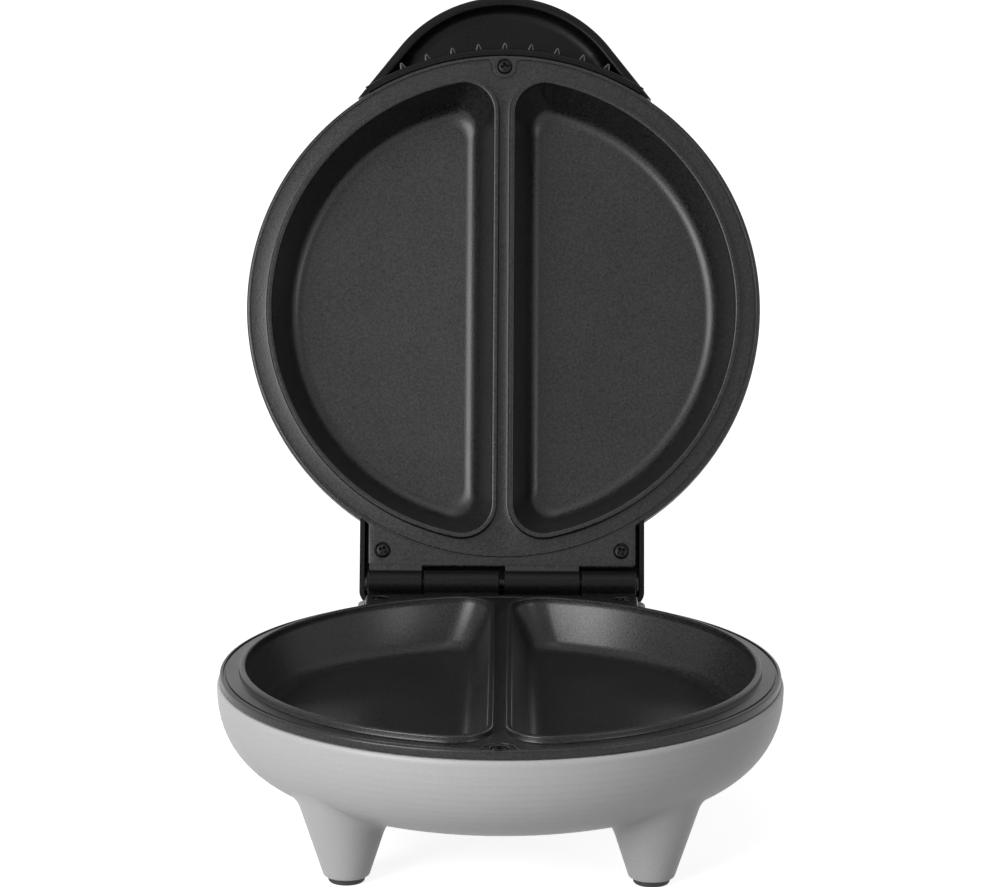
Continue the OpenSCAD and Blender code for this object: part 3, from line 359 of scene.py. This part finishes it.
# %% Helpers: closed rings, walls between rings, and flat fields with holes
def curve(cx, cy, r, start, end, steps):
    """Points of an arc in degrees, without its last one."""
    turns = [math.radians(start + (end - start) * i / steps) for i in range(steps)]
    return [(cx + r * math.cos(t), cy + r * math.sin(t)) for t in turns]


def draw_ring(bm, points):
    """Edges through points in space, closed."""
    verts = [bm.verts.new(p) for p in points]
    return [bm.edges.new(pair) for pair in zip(verts, verts[1:] + verts[:1])]


def draw_loop(bm, points, z):
    """A ring from a flat outline at one height."""
    return draw_ring(bm, [(x, y, z) for x, y in points])


def wall(bm, rings):
    """Bridges each ring to the next one with smooth faces."""
    for a, b in zip(rings, rings[1:]):
        for face in bmesh.ops.bridge_loops(bm, edges=a + b)["faces"]:
            face.smooth = True


def field(bm, *rings):
    """Fills the field between an outer ring and its holes. Its faces stay flat, so that the soft
    shading of a bead or an edge doesn't spread over a whole land."""
    edges = [edge for ring in rings for edge in ring]
    bmesh.ops.triangle_fill(bm, edges=edges, use_beauty=True, use_dissolve=False)


def cap_ends(bm, rings):
    """Closes the two ends of a run of rings."""
    bmesh.ops.holes_fill(bm, edges=rings[0] + rings[-1], sides=0)


print("helpers for rings, walls and fields ready")

# %% [markdown]
# ## The castings
# Each plate is one aluminium casting with a non-stick coat. Two half-moon pockets lie left and
# right of a narrow divider. A raised bead runs round each pocket, a groove runs inside the outer
# lip and round the tab of the front screw, and the hinge knuckles stand on a lug at the rear. A
# boolean of simple solids would leave hard mitres in the pocket corners, where a real casting
# flows softly. So the casting is drawn as closed rings that follow one another, from the bead over
# the leaning wall and the wide fillet to the floor, with a corner radius of its own at every
# depth.

# %% Outline of a pocket
DIVIDER = 9.2 * MM
POCKET_R = 97.2 * MM
CORNER = 12.4 * MM
CORNER_LOSS = 0.34
RIM_STEPS, CORNER_STEPS, SIDE_STEPS = 72, 16, 24


def half_moon(inset):
    """Outline of the right pocket, drawn smaller by inset. Its corners stay wide further down."""
    corner = CORNER - CORNER_LOSS * inset if inset > 0 else CORNER - inset
    x0 = DIVIDER / 2 + inset + corner
    r = POCKET_R - inset
    turn = math.degrees(math.acos(x0 / (r - corner)))
    y0 = math.sqrt((r - corner) ** 2 - x0 ** 2)
    side = [(x0 - corner, y0 - 2 * y0 * i / SIDE_STEPS) for i in range(SIDE_STEPS)]
    return (curve(0, 0, r, -turn, turn, RIM_STEPS) + curve(x0, y0, corner, turn, 180, CORNER_STEPS)
            + side + curve(x0, -y0, corner, 180, 360 - turn, CORNER_STEPS))


print(len(half_moon(0)), "points round a pocket")

# %% Section of a pocket, from the foot of its bead to its floor
DEPTH = 17.7 * MM
DRAFT = math.radians(23)
FILLET = 6.8 * MM
WALL = 2.6 * MM
BEAD_H = 2.55 * MM
BEAD_W = 2.4 * MM
BEAD_ROUND = 0.8 * MM
# The bead's flared foot outside, and its turn into the wall inside: inset and height in mm
BEAD_FOOT = [(-0.7, 0), (-0.2, 0.12), (0, 0.6)]
WALL_TOP = [(0, 0.4), (0.25, -0.6)]


def fillet_section(grow):
    """Turn of the leaning wall into the floor; grow carries it out through the thickness."""
    centre_z = -DEPTH + FILLET
    centre_in = -centre_z * math.tan(DRAFT) + FILLET / math.cos(DRAFT)
    start = 180 + math.degrees(DRAFT)
    return (curve(centre_in, centre_z, FILLET + grow, start, 270, 8)
            + [(centre_in, -DEPTH - grow)])


def pocket_section():
    """(inset, height) of each ring."""
    crest = BEAD_H - BEAD_ROUND
    return ([(x * MM - BEAD_W, z * MM) for x, z in BEAD_FOOT]
            + [(-BEAD_W + x, z) for x, z in curve(BEAD_ROUND, crest, BEAD_ROUND, 180, 90, 4)]
            + [(-BEAD_ROUND + x, z) for x, z in curve(0, crest, BEAD_ROUND, 90, 0, 4)]
            + [(x * MM, z * MM) for x, z in WALL_TOP] + fillet_section(0))


print(len(pocket_section()), "rings from bead to floor")

# %% Outline of the whole casting: the round plate with the hinge lug behind it
LUG_HALF = 56 * MM
LUG_EDGE = 109.75 * MM
LUG_CORNER = 2 * MM
PLATE_STEPS = 180


def outline(inset, plate_r):
    r, half, edge, c = plate_r - inset, LUG_HALF - inset, LUG_EDGE - inset, LUG_CORNER - inset
    join = math.degrees(math.acos(half / r))
    return (curve(0, 0, r, 180 - join, 360 + join, PLATE_STEPS)
            + [(half, r * math.sin(math.radians(join)))]
            + curve(half - c, edge - c, c, 0, 90, 6) + curve(c - half, edge - c, c, 90, 180, 6)
            + [(-half, edge - c)])


print("lug", round(2 * LUG_HALF / MM), "mm wide")

# %% The groove, led round the tab of the front screw
FRONT_SCREW_Y = -103.2 * MM
TAB_R = 5.4 * MM
TURN_R = 2 * MM
# Half width and height of the groove's side in mm, from its mouth to its bottom
GROOVE_SIDE = [(0.65, 0), (0.45, -0.12), (0.32, -0.6)]


def groove(out, groove_r):
    """The groove's line, moved outwards by out."""
    side = TAB_R + TURN_R
    reach = math.sqrt((groove_r - TURN_R) ** 2 - side ** 2)
    lean = math.degrees(math.asin(side / (groove_r - TURN_R)))
    return (curve(0, 0, groove_r + out, lean - 90, 270 - lean, PLATE_STEPS)
            + curve(-side, -reach, TURN_R + out, 270 - lean, 360, 8)
            + curve(0, FRONT_SCREW_Y, TAB_R - out, 180, 0, 16)
            + curve(side, -reach, TURN_R + out, 180, 270 + lean, 8))


print("groove", 2 * GROOVE_SIDE[0][0], "mm wide and", -GROOVE_SIDE[-1][1], "mm deep")

# %% Seats of the screws
RECESS_R = 3.3 * MM
RECESS_D = 1.6 * MM
RECESS_FLARE, FLARE_D = 0.25 * MM, 0.2 * MM
SCREW_STEPS = 32
LUG_SCREW = (49.7 * MM, 102.9 * MM)
SCREWS = [(0, FRONT_SCREW_Y), (-LUG_SCREW[0], LUG_SCREW[1]), LUG_SCREW]


def screw_recess(bm, x, y):
    """Sunk seat of a screw; gives back its upper ring."""
    steps = [(RECESS_R + RECESS_FLARE, 0), (RECESS_R, -FLARE_D), (RECESS_R, -RECESS_D)]
    rings = [draw_loop(bm, curve(x, y, r, 0, 360, SCREW_STEPS), z) for r, z in steps]
    wall(bm, rings)
    field(bm, rings[-1])
    return rings[0]


print(len(SCREWS), "screws in a plate")

# %% Build one casting without its knuckles
FLANGE_T = 3.2 * MM
EDGE_ROUND = 0.9 * MM


def pocket(bm, side):
    """One pocket; gives back the foot of its bead and the foot of its outside on the flange."""
    def ring(inset, z):
        return draw_loop(bm, [(side * x, y) for x, y in half_moon(inset)], z)
    inside = [ring(inset, z) for inset, z in pocket_section()]
    wall(bm, inside)
    field(bm, inside[-1])
    start = FLANGE_T * math.tan(DRAFT) - WALL / math.cos(DRAFT)
    outside = [ring(inset, z) for inset, z in [(start, -FLANGE_T)] + fillet_section(WALL)]
    wall(bm, outside)
    field(bm, outside[-1])
    return inside[0], outside[0]


def casting(plate_r, groove_r):
    bm = bmesh.new()
    turn = curve(0, -EDGE_ROUND, EDGE_ROUND, 0, 90, 4)[1:] + [(0, 0)]
    rim = [(0, -FLANGE_T), (0, -EDGE_ROUND)] + [(EDGE_ROUND - x, z) for x, z in turn]
    edge = [draw_loop(bm, outline(inset, plate_r), z) for inset, z in rim]
    wall(bm, edge)
    trough = GROOVE_SIDE + [(-out, z) for out, z in reversed(GROOVE_SIDE)]
    channel = [draw_loop(bm, groove(out * MM, groove_r), z * MM) for out, z in trough]
    wall(bm, channel)
    right, left = pocket(bm, 1), pocket(bm, -1)
    recesses = [screw_recess(bm, x, y) for x, y in SCREWS]
    field(bm, edge[-1], channel[0], *recesses)
    field(bm, channel[-1], right[0], left[0])
    field(bm, edge[0], right[1], left[1])
    return bm


print("helpers for a casting ready")

# %% Knuckles, webs that join them to the lug, and the studs and sensor seat under the pockets
PIN_R = 2 * MM
BORE_GAP = 0.05 * MM
KNUCKLE_R = 5.3 * MM
KNUCKLE_EDGE = 0.35 * MM
KNUCKLES = [(33 * MM, 55.6 * MM), (-32.4 * MM, -1.05 * MM)]
WEB_Y = (LUG_EDGE - 1 * MM, HINGE_Y - 2.5 * MM)
WEB_Z = (-3 * MM, -0.05 * MM)
STUD_R, STUD_LENGTH, STUD_Z = 3 * MM, 14 * MM, -25.5 * MM
STUDS = [(62, 42), (-62, 42), (62, -42), (-62, -42)]
SEAT_LOW = (-9 * MM, -13.5 * MM, -20.3 * MM)
SEAT_HIGH = (9 * MM, 31 * MM, -14 * MM)


def add_block(bm, low, high):
    """A box between two corners."""
    size = Vector(high) - Vector(low)
    place = Matrix.Translation((Vector(low) + Vector(high)) / 2) @ Matrix.Diagonal((*size, 1))
    bmesh.ops.create_cube(bm, size=1, matrix=place)


def add_knuckles(bm):
    """Spins each knuckle's section about the pin."""
    bore, c = PIN_R + BORE_GAP, KNUCKLE_EDGE
    for x0, x1 in KNUCKLES:
        section = [(x0, bore), (x0, KNUCKLE_R - c), (x0 + c, KNUCKLE_R), (x1 - c, KNUCKLE_R),
                   (x1, KNUCKLE_R - c), (x1, bore)]
        edges = draw_ring(bm, [(x, HINGE_Y + r, HINGE_H) for x, r in section])
        bmesh.ops.spin(bm, geom=[edge.verts[0] for edge in edges] + edges, axis=(1, 0, 0),
                       cent=(0, HINGE_Y, HINGE_H), angle=2 * math.pi, steps=48, use_merge=True,
                       use_duplicate=False)


def add_webs_and_underside(bm):
    for x0, x1 in KNUCKLES:
        add_block(bm, (x0 + KNUCKLE_EDGE, WEB_Y[0], WEB_Z[0]),
                  (x1 - KNUCKLE_EDGE, WEB_Y[1], WEB_Z[1]))
    for x, y in STUDS:
        bmesh.ops.create_cone(bm, cap_ends=True, segments=32, radius1=STUD_R, radius2=STUD_R,
                              depth=STUD_LENGTH,
                              matrix=Matrix.Translation((x * MM, y * MM, STUD_Z)))
    add_block(bm, SEAT_LOW, SEAT_HIGH)


print(len(KNUCKLES), "knuckles on a casting")

# %% The two castings: the lid's lip hangs over its frame, the base's sits inside the bowl's rim
for name, node, place, plate_r, groove_r in (
        ("base_casting", "base_plate", in_base, 107 * MM, 105.2 * MM),
        ("lid_casting", "lid_plate", in_lid, 107.9 * MM, 105.9 * MM)):
    bm = casting(plate_r, groove_r)
    plain_faces = set(bm.faces)
    add_knuckles(bm)
    # The knuckles get the darker copy of the plates' coat: painted shade
    for face in set(bm.faces) - plain_faces:
        face.material_index = 1
        face.smooth = True
    add_webs_and_underside(bm)
    piece = place_piece(name, bm, "coated_plate", node, place, smooth=False)
    piece.data.materials.append(finishes["knuckle_shaded_coat"])
    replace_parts(piece, node)

# %% [markdown]
# ## The plate screws
# Three dark machine screws hold each casting, sunk in round seats. Their heads are pressed with a
# cross recess, and the photograph shows that cross clearly. The head is a low dome with a flat
# top, and the cross is drawn into the flat and led down with a taper, as the punch leaves it.

# %% A pan head with a cross recess
SHANK_R = 1.4 * MM
SHANK_END = -11.6 * MM
HEAD_R = 3 * MM
HEAD_FOOT = -1.6 * MM
HEAD_TOP = -0.1 * MM
HEAD_EDGE = 0.1 * MM
DOME_R, DOME_H = 1.1 * MM, 1.2 * MM
DOME_ANGLES = (0, 25, 50, 70, 90)
# Half width and reach of the cross's arms, at its mouth and at its bottom
CROSS_MOUTH = (0.55 * MM, 1.85 * MM)
CROSS_FOOT = (0.3 * MM, 0.9 * MM)
CROSS_DEPTH = 1.3 * MM
TURNS = (8, 33, 61)


def cross(x, y, half, reach, turn):
    """Outline of a cross with four equal arms."""
    quarter = [(reach, -half), (reach, half), (half, half)]
    points = []
    for i in range(4):
        t = math.radians(90 * i + turn)
        points += [(x + a * math.cos(t) - b * math.sin(t), y + a * math.sin(t) + b * math.cos(t))
                   for a, b in quarter]
    return points


def dome(degrees):
    """(radius, height) on the head's rounded shoulder."""
    t = math.radians(degrees)
    return HEAD_R - DOME_R + DOME_R * math.cos(t), HEAD_TOP - DOME_H + DOME_H * math.sin(t)


def add_screw(bm, x, y, turn):
    steps = [(SHANK_R, SHANK_END), (SHANK_R, HEAD_FOOT), (HEAD_R - HEAD_EDGE, HEAD_FOOT)]
    steps += [dome(degrees) for degrees in DOME_ANGLES]
    rings = [draw_loop(bm, curve(x, y, r, 0, 360, SCREW_STEPS), z) for r, z in steps]
    wall(bm, rings)
    field(bm, rings[0])
    mouth = draw_loop(bm, cross(x, y, *CROSS_MOUTH, turn), HEAD_TOP)
    foot = draw_loop(bm, cross(x, y, *CROSS_FOOT, turn), HEAD_TOP - CROSS_DEPTH)
    field(bm, rings[-1], mouth)
    wall(bm, [mouth, foot])
    field(bm, foot)


for name, node, place in (("base_cross_screws", "base_plate_screws", in_base),
                          ("lid_cross_screws", "lid_plate_screws", in_lid)):
    bm = bmesh.new()
    for (x, y), turn in zip(SCREWS, TURNS):
        add_screw(bm, x, y, turn)
    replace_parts(place_piece(name, bm, "screw_steel", node, place), node)

# %% [markdown]
# ## The handle
# The grip is one moulding in black plastic: a leaf-shaped visor with a raised, rounded lip round
# its outer edge, and a curved boss that two screws hold to the rim of the lid. Small ridges along
# the boss give the fingers a hold. Three boxes and a boolean would lose the soft edges that show
# it as plastic, so the lip is a section led along its curve, cut off level with the ears.

# %% Section of the lip, and its places along the curve
LIP_CENTRE_Y = -78.4 * MM
LIP_R = 56.6 * MM
LIP_W = 4.2 * MM
LIP_FAR = -14.1 * MM
LIP_NEAR = -5.1 * MM
LIP_ROUNDS = (2.4 * MM, 1.9 * MM, 1.2 * MM)
FLANK = 51.8
EAR_LENGTH = 36 * MM
VISOR_FAR = -13.7 * MM
VISOR_NEAR = -11.5 * MM
DISH = 5 * MM
HANDLE_STEPS = 72


def lip_section():
    """(distance from the centre of the arc, height) round the lip, with its inner fillet."""
    back, front, top = LIP_ROUNDS
    inner = LIP_R - LIP_W
    return ([(inner - DISH, VISOR_FAR), (inner, LIP_FAR)]
            + curve(LIP_R - back, LIP_FAR + back, back, -90, 0, 8)
            + curve(LIP_R - front, LIP_NEAR - front, front, 0, 90, 8)
            + curve(inner + top, LIP_NEAR - top, top, 90, 180, 6)
            + curve(inner - DISH, VISOR_NEAR + DISH, DISH, 0, -90, 10)
            + [(inner - DISH, VISOR_NEAR)])


def fan(half_angle):
    """Directions spread evenly to both sides of the front."""
    turns = [math.radians(-90 - half_angle + 2 * half_angle * i / HANDLE_STEPS)
             for i in range(HANDLE_STEPS + 1)]
    return [Vector((math.cos(t), math.sin(t))) for t in turns]


def lip_stations():
    """Shift and outward direction of the section at each place along the lip."""
    outs = fan(FLANK)
    left = Vector((outs[0].y, -outs[0].x)) * EAR_LENGTH
    right = Vector((-outs[-1].y, outs[-1].x)) * EAR_LENGTH
    return [(left, outs[0])] + [(Vector((0, 0)), out) for out in outs] + [(right, outs[-1])]


print(len(lip_stations()), "places along the lip")

# %% Lip: lead the section along its curve, then cut the ears level
EAR_Y = -90.74 * MM


def add_lip(bm):
    rings = []
    for shift, out in lip_stations():
        rings.append(draw_ring(bm, [(shift.x + r * out.x, LIP_CENTRE_Y + shift.y + r * out.y, z)
                                    for r, z in lip_section()]))
    wall(bm, rings)
    everything = bm.verts[:] + bm.edges[:] + bm.faces[:]
    bmesh.ops.bisect_plane(bm, geom=everything, plane_co=(0, EAR_Y, 0), plane_no=(0, 1, 0),
                           clear_outer=True)
    bmesh.ops.holes_fill(bm, edges=[e for e in bm.edges if e.is_boundary], sides=0)


print("ears end", round(-EAR_Y / MM, 1), "mm in front of the plate's middle")

# %% Visor: the leaf between the lip and the rim of the lid
RIM_R = 108.35 * MM


def leaf():
    """Outline of the visor, under the lip outside and at the rim inside."""
    r = LIP_R - LIP_W / 2
    points = []
    for shift, out in lip_stations():
        x, y = shift.x + r * out.x, LIP_CENTRE_Y + shift.y + r * out.y
        if y > EAR_Y:
            past = (y - EAR_Y) / abs(out.x)
            x, y = x - math.copysign(past * abs(out.y), x), EAR_Y
        points.append((x, y))
    half = math.degrees(math.acos(-EAR_Y / RIM_R))
    rim_end = (-RIM_R * math.sin(math.radians(half)), EAR_Y)
    return points + curve(0, 0, RIM_R, -90 + half, -90 - half, 48) + [rim_end]


def add_visor(bm):
    rings = [draw_loop(bm, leaf(), z) for z in (VISOR_FAR, VISOR_NEAR)]
    wall(bm, rings)
    for ring in rings:
        field(bm, ring)


print(len(leaf()), "points round the visor")

# %% Boss: a section led round the rim of the lid
BOSS_R = 111.5 * MM
BOSS_HALF = 32
BOSS_FAR, BOSS_NEAR = -16.1 * MM, -1.6 * MM
BOSS_ROUND = 1.1 * MM
BOSS_SEAM = 0.3 * MM


def boss_section():
    """(distance from the middle of the lid, height) round the boss."""
    c = BOSS_ROUND
    return ([(RIM_R, BOSS_FAR)] + curve(BOSS_R - c, BOSS_FAR + c, c, -90, 0, 5)
            + curve(BOSS_R - c, BOSS_NEAR - c, c, 0, 90, 5)
            + [(BOSS_R - c, BOSS_NEAR), (RIM_R + BOSS_SEAM, BOSS_NEAR),
               (RIM_R, BOSS_NEAR - BOSS_SEAM)])


def add_boss(bm):
    rings = [draw_ring(bm, [(r * out.x, r * out.y, z) for r, z in boss_section()])
             for out in fan(BOSS_HALF)]
    wall(bm, rings)
    cap_ends(bm, rings)


bm = bmesh.new()
add_lip(bm)
add_visor(bm)
add_boss(bm)
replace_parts(place_piece("grip", bm, "black_plastic", "handle", in_lid, sharp=40), "handle")

# %% Ridges, with lighter grey painted on their edges and sides as a highlight
RIDGES = 9
RIDGE_PITCH = 5.7
RIDGE_FOOT, RIDGE_SHOULDER, RIDGE_TIP = 110.6 * MM, 111.6 * MM, 113.3 * MM
RIDGE_TIP_R, RIDGE_HALF = 0.75 * MM, 1.35 * MM
# Growth of the outline and height of each ring in mm: the last two round the near end
RIDGE_RINGS = ((0, -12.8), (0, -2.9), (-0.2, -2.55), (-0.55, -2.4))
# A face that looks along the lid's axis by more than this share keeps the plain black; every other
# face gets the lighter grey of the painted highlight
PLAIN_BLACK_SHARE = 0.97


def ridge(grow):
    """Outline of one ridge, seen along the lid's axis, with a round tip."""
    tip, half = RIDGE_TIP_R + grow, RIDGE_HALF + grow
    return ([(RIDGE_FOOT, -half), (RIDGE_SHOULDER, -half)]
            + curve(RIDGE_TIP, 0, tip, -75, 75, 8)
            + [(RIDGE_SHOULDER, half), (RIDGE_FOOT, half)])


bm = bmesh.new()
for i in range(RIDGES):
    angle = (i - (RIDGES - 1) / 2) * RIDGE_PITCH - 90
    turn = Matrix.Rotation(math.radians(angle), 4, "Z")
    rings = [draw_ring(bm, [turn @ Vector((x, y, z * MM)) for x, y in ridge(grow * MM)])
             for grow, z in RIDGE_RINGS]
    wall(bm, rings)
    cap_ends(bm, rings)
bm.normal_update()
for face in bm.faces:
    face.material_index = 1 if abs(face.normal.z) < PLAIN_BLACK_SHARE else 0
ridges = place_piece("grip_ridges", bm, "black_plastic", "handle", in_lid, sharp=40)
# The second material paints the highlight on the ridges' edges and sides
ridges.data.materials.append(finishes["ridge_highlight_plastic"])

# %% [markdown]
# ## The feet run into the bowl
# On the real shell the four cone feet are moulded with the bowl, and a soft fillet fills the
# corner between them. The solid has a sharp corner there, so a small ring is laid into the corner
# of each of the two feet that the photograph shows. Rays from below find where the cone ends and
# the bowl begins, and the ring's section is a curve that leaves the cone and meets the bowl
# without a step.

# %% Find the corner of one foot in one direction
FOOT_R = 8.5 * MM
FOOT_LEAN = math.radians(18)
PAD_SHOW = 2.4 * MM
FEET = [(56.3 * MM, -57.9 * MM), (-56.3 * MM, -57.9 * MM)]
NEAREST, FARTHEST, LEAST = 1 * MM, 40 * MM, 0.1 * MM
SLACK = 0.4 * MM
SLACK_REACH = 0.13 * MM
BELOW = -10 * MM
HALVINGS = 24
shell = bmesh.new()
shell.from_mesh(frame["nodes"]["lower_shell"].data)
shell_tree = BVHTree.FromBMesh(shell)
shell.free()


def height(centre, out, r):
    """Height of the shell's outside above a place at distance r from a foot's axis."""
    place = centre + out * r
    hit = shell_tree.ray_cast(Vector((place.x, place.y, BELOW)), Vector((0, 0, 1)))
    return hit[0].z if hit[0] is not None else None


def on_cone(centre, out, r):
    """Point of the cone at distance r from its axis."""
    point = centre + out * r
    point.z = PAD_SHOW + (r - FOOT_R) / math.tan(FOOT_LEAN)
    return point


def corner(centre, out):
    """Distance from the axis at which the cone meets the bowl, by halving. The shell's triangles
    stray a little from the cone, so the corner counts as passed only past some slack, and what the
    slack adds to the distance is taken off again."""
    low, high = FOOT_R + NEAREST, FARTHEST
    for _ in range(HALVINGS):
        middle = (low + high) / 2
        there = height(centre, out, middle)
        if there is None or on_cone(centre, out, middle).z > there + SLACK:
            high = middle
        else:
            low = middle
    return low - SLACK_REACH


print("shell of", len(frame["nodes"]["lower_shell"].data.polygons), "triangles to look at")

# %% Fillets: a section in every direction round a foot, joined to a ring
FILLET_REACH = 4.2 * MM
FILLET_POINTS = 8
DIRECTIONS = 96
# Share of the reach that is kept where a ray misses the bowl, and depth of the closing point
BACK_OFF = 0.7
KEEL = 0.6


def fillet_ring(centre, out):
    """Curve from the cone to the bowl, closed by one point inside both."""
    r = corner(centre, out)
    meet = on_cone(centre, out, r)
    start = on_cone(centre, out, r - FILLET_REACH * math.sin(FOOT_LEAN))
    reach, end = FILLET_REACH, meet
    for _ in range(HALVINGS):
        there = height(centre, out, r + reach)
        if there is None:
            reach *= BACK_OFF
            continue
        end = centre + out * (r + reach)
        end.z = there
        reach *= min(1.0, FILLET_REACH / max((end - meet).length, LEAST))
    points = []
    for i in range(FILLET_POINTS + 1):
        t = i / FILLET_POINTS
        points.append(start * (1 - t) ** 2 + meet * 2 * t * (1 - t) + end * t ** 2)
    return points + [meet + (meet - (start + end) / 2) * KEEL]


bm = bmesh.new()
for x, y in FEET:
    centre = in_base @ Vector((x, y, 0))
    centre.z = 0
    rings = []
    for i in range(DIRECTIONS):
        t = math.radians(i * 360 / DIRECTIONS)
        out = Vector((math.cos(t), math.sin(t), 0))
        rings.append(draw_ring(bm, fillet_ring(centre, out)))
    wall(bm, rings + rings[:1])
place_piece("foot_fillets", bm, "silver_shell", "lower_shell", None, sharp=35)
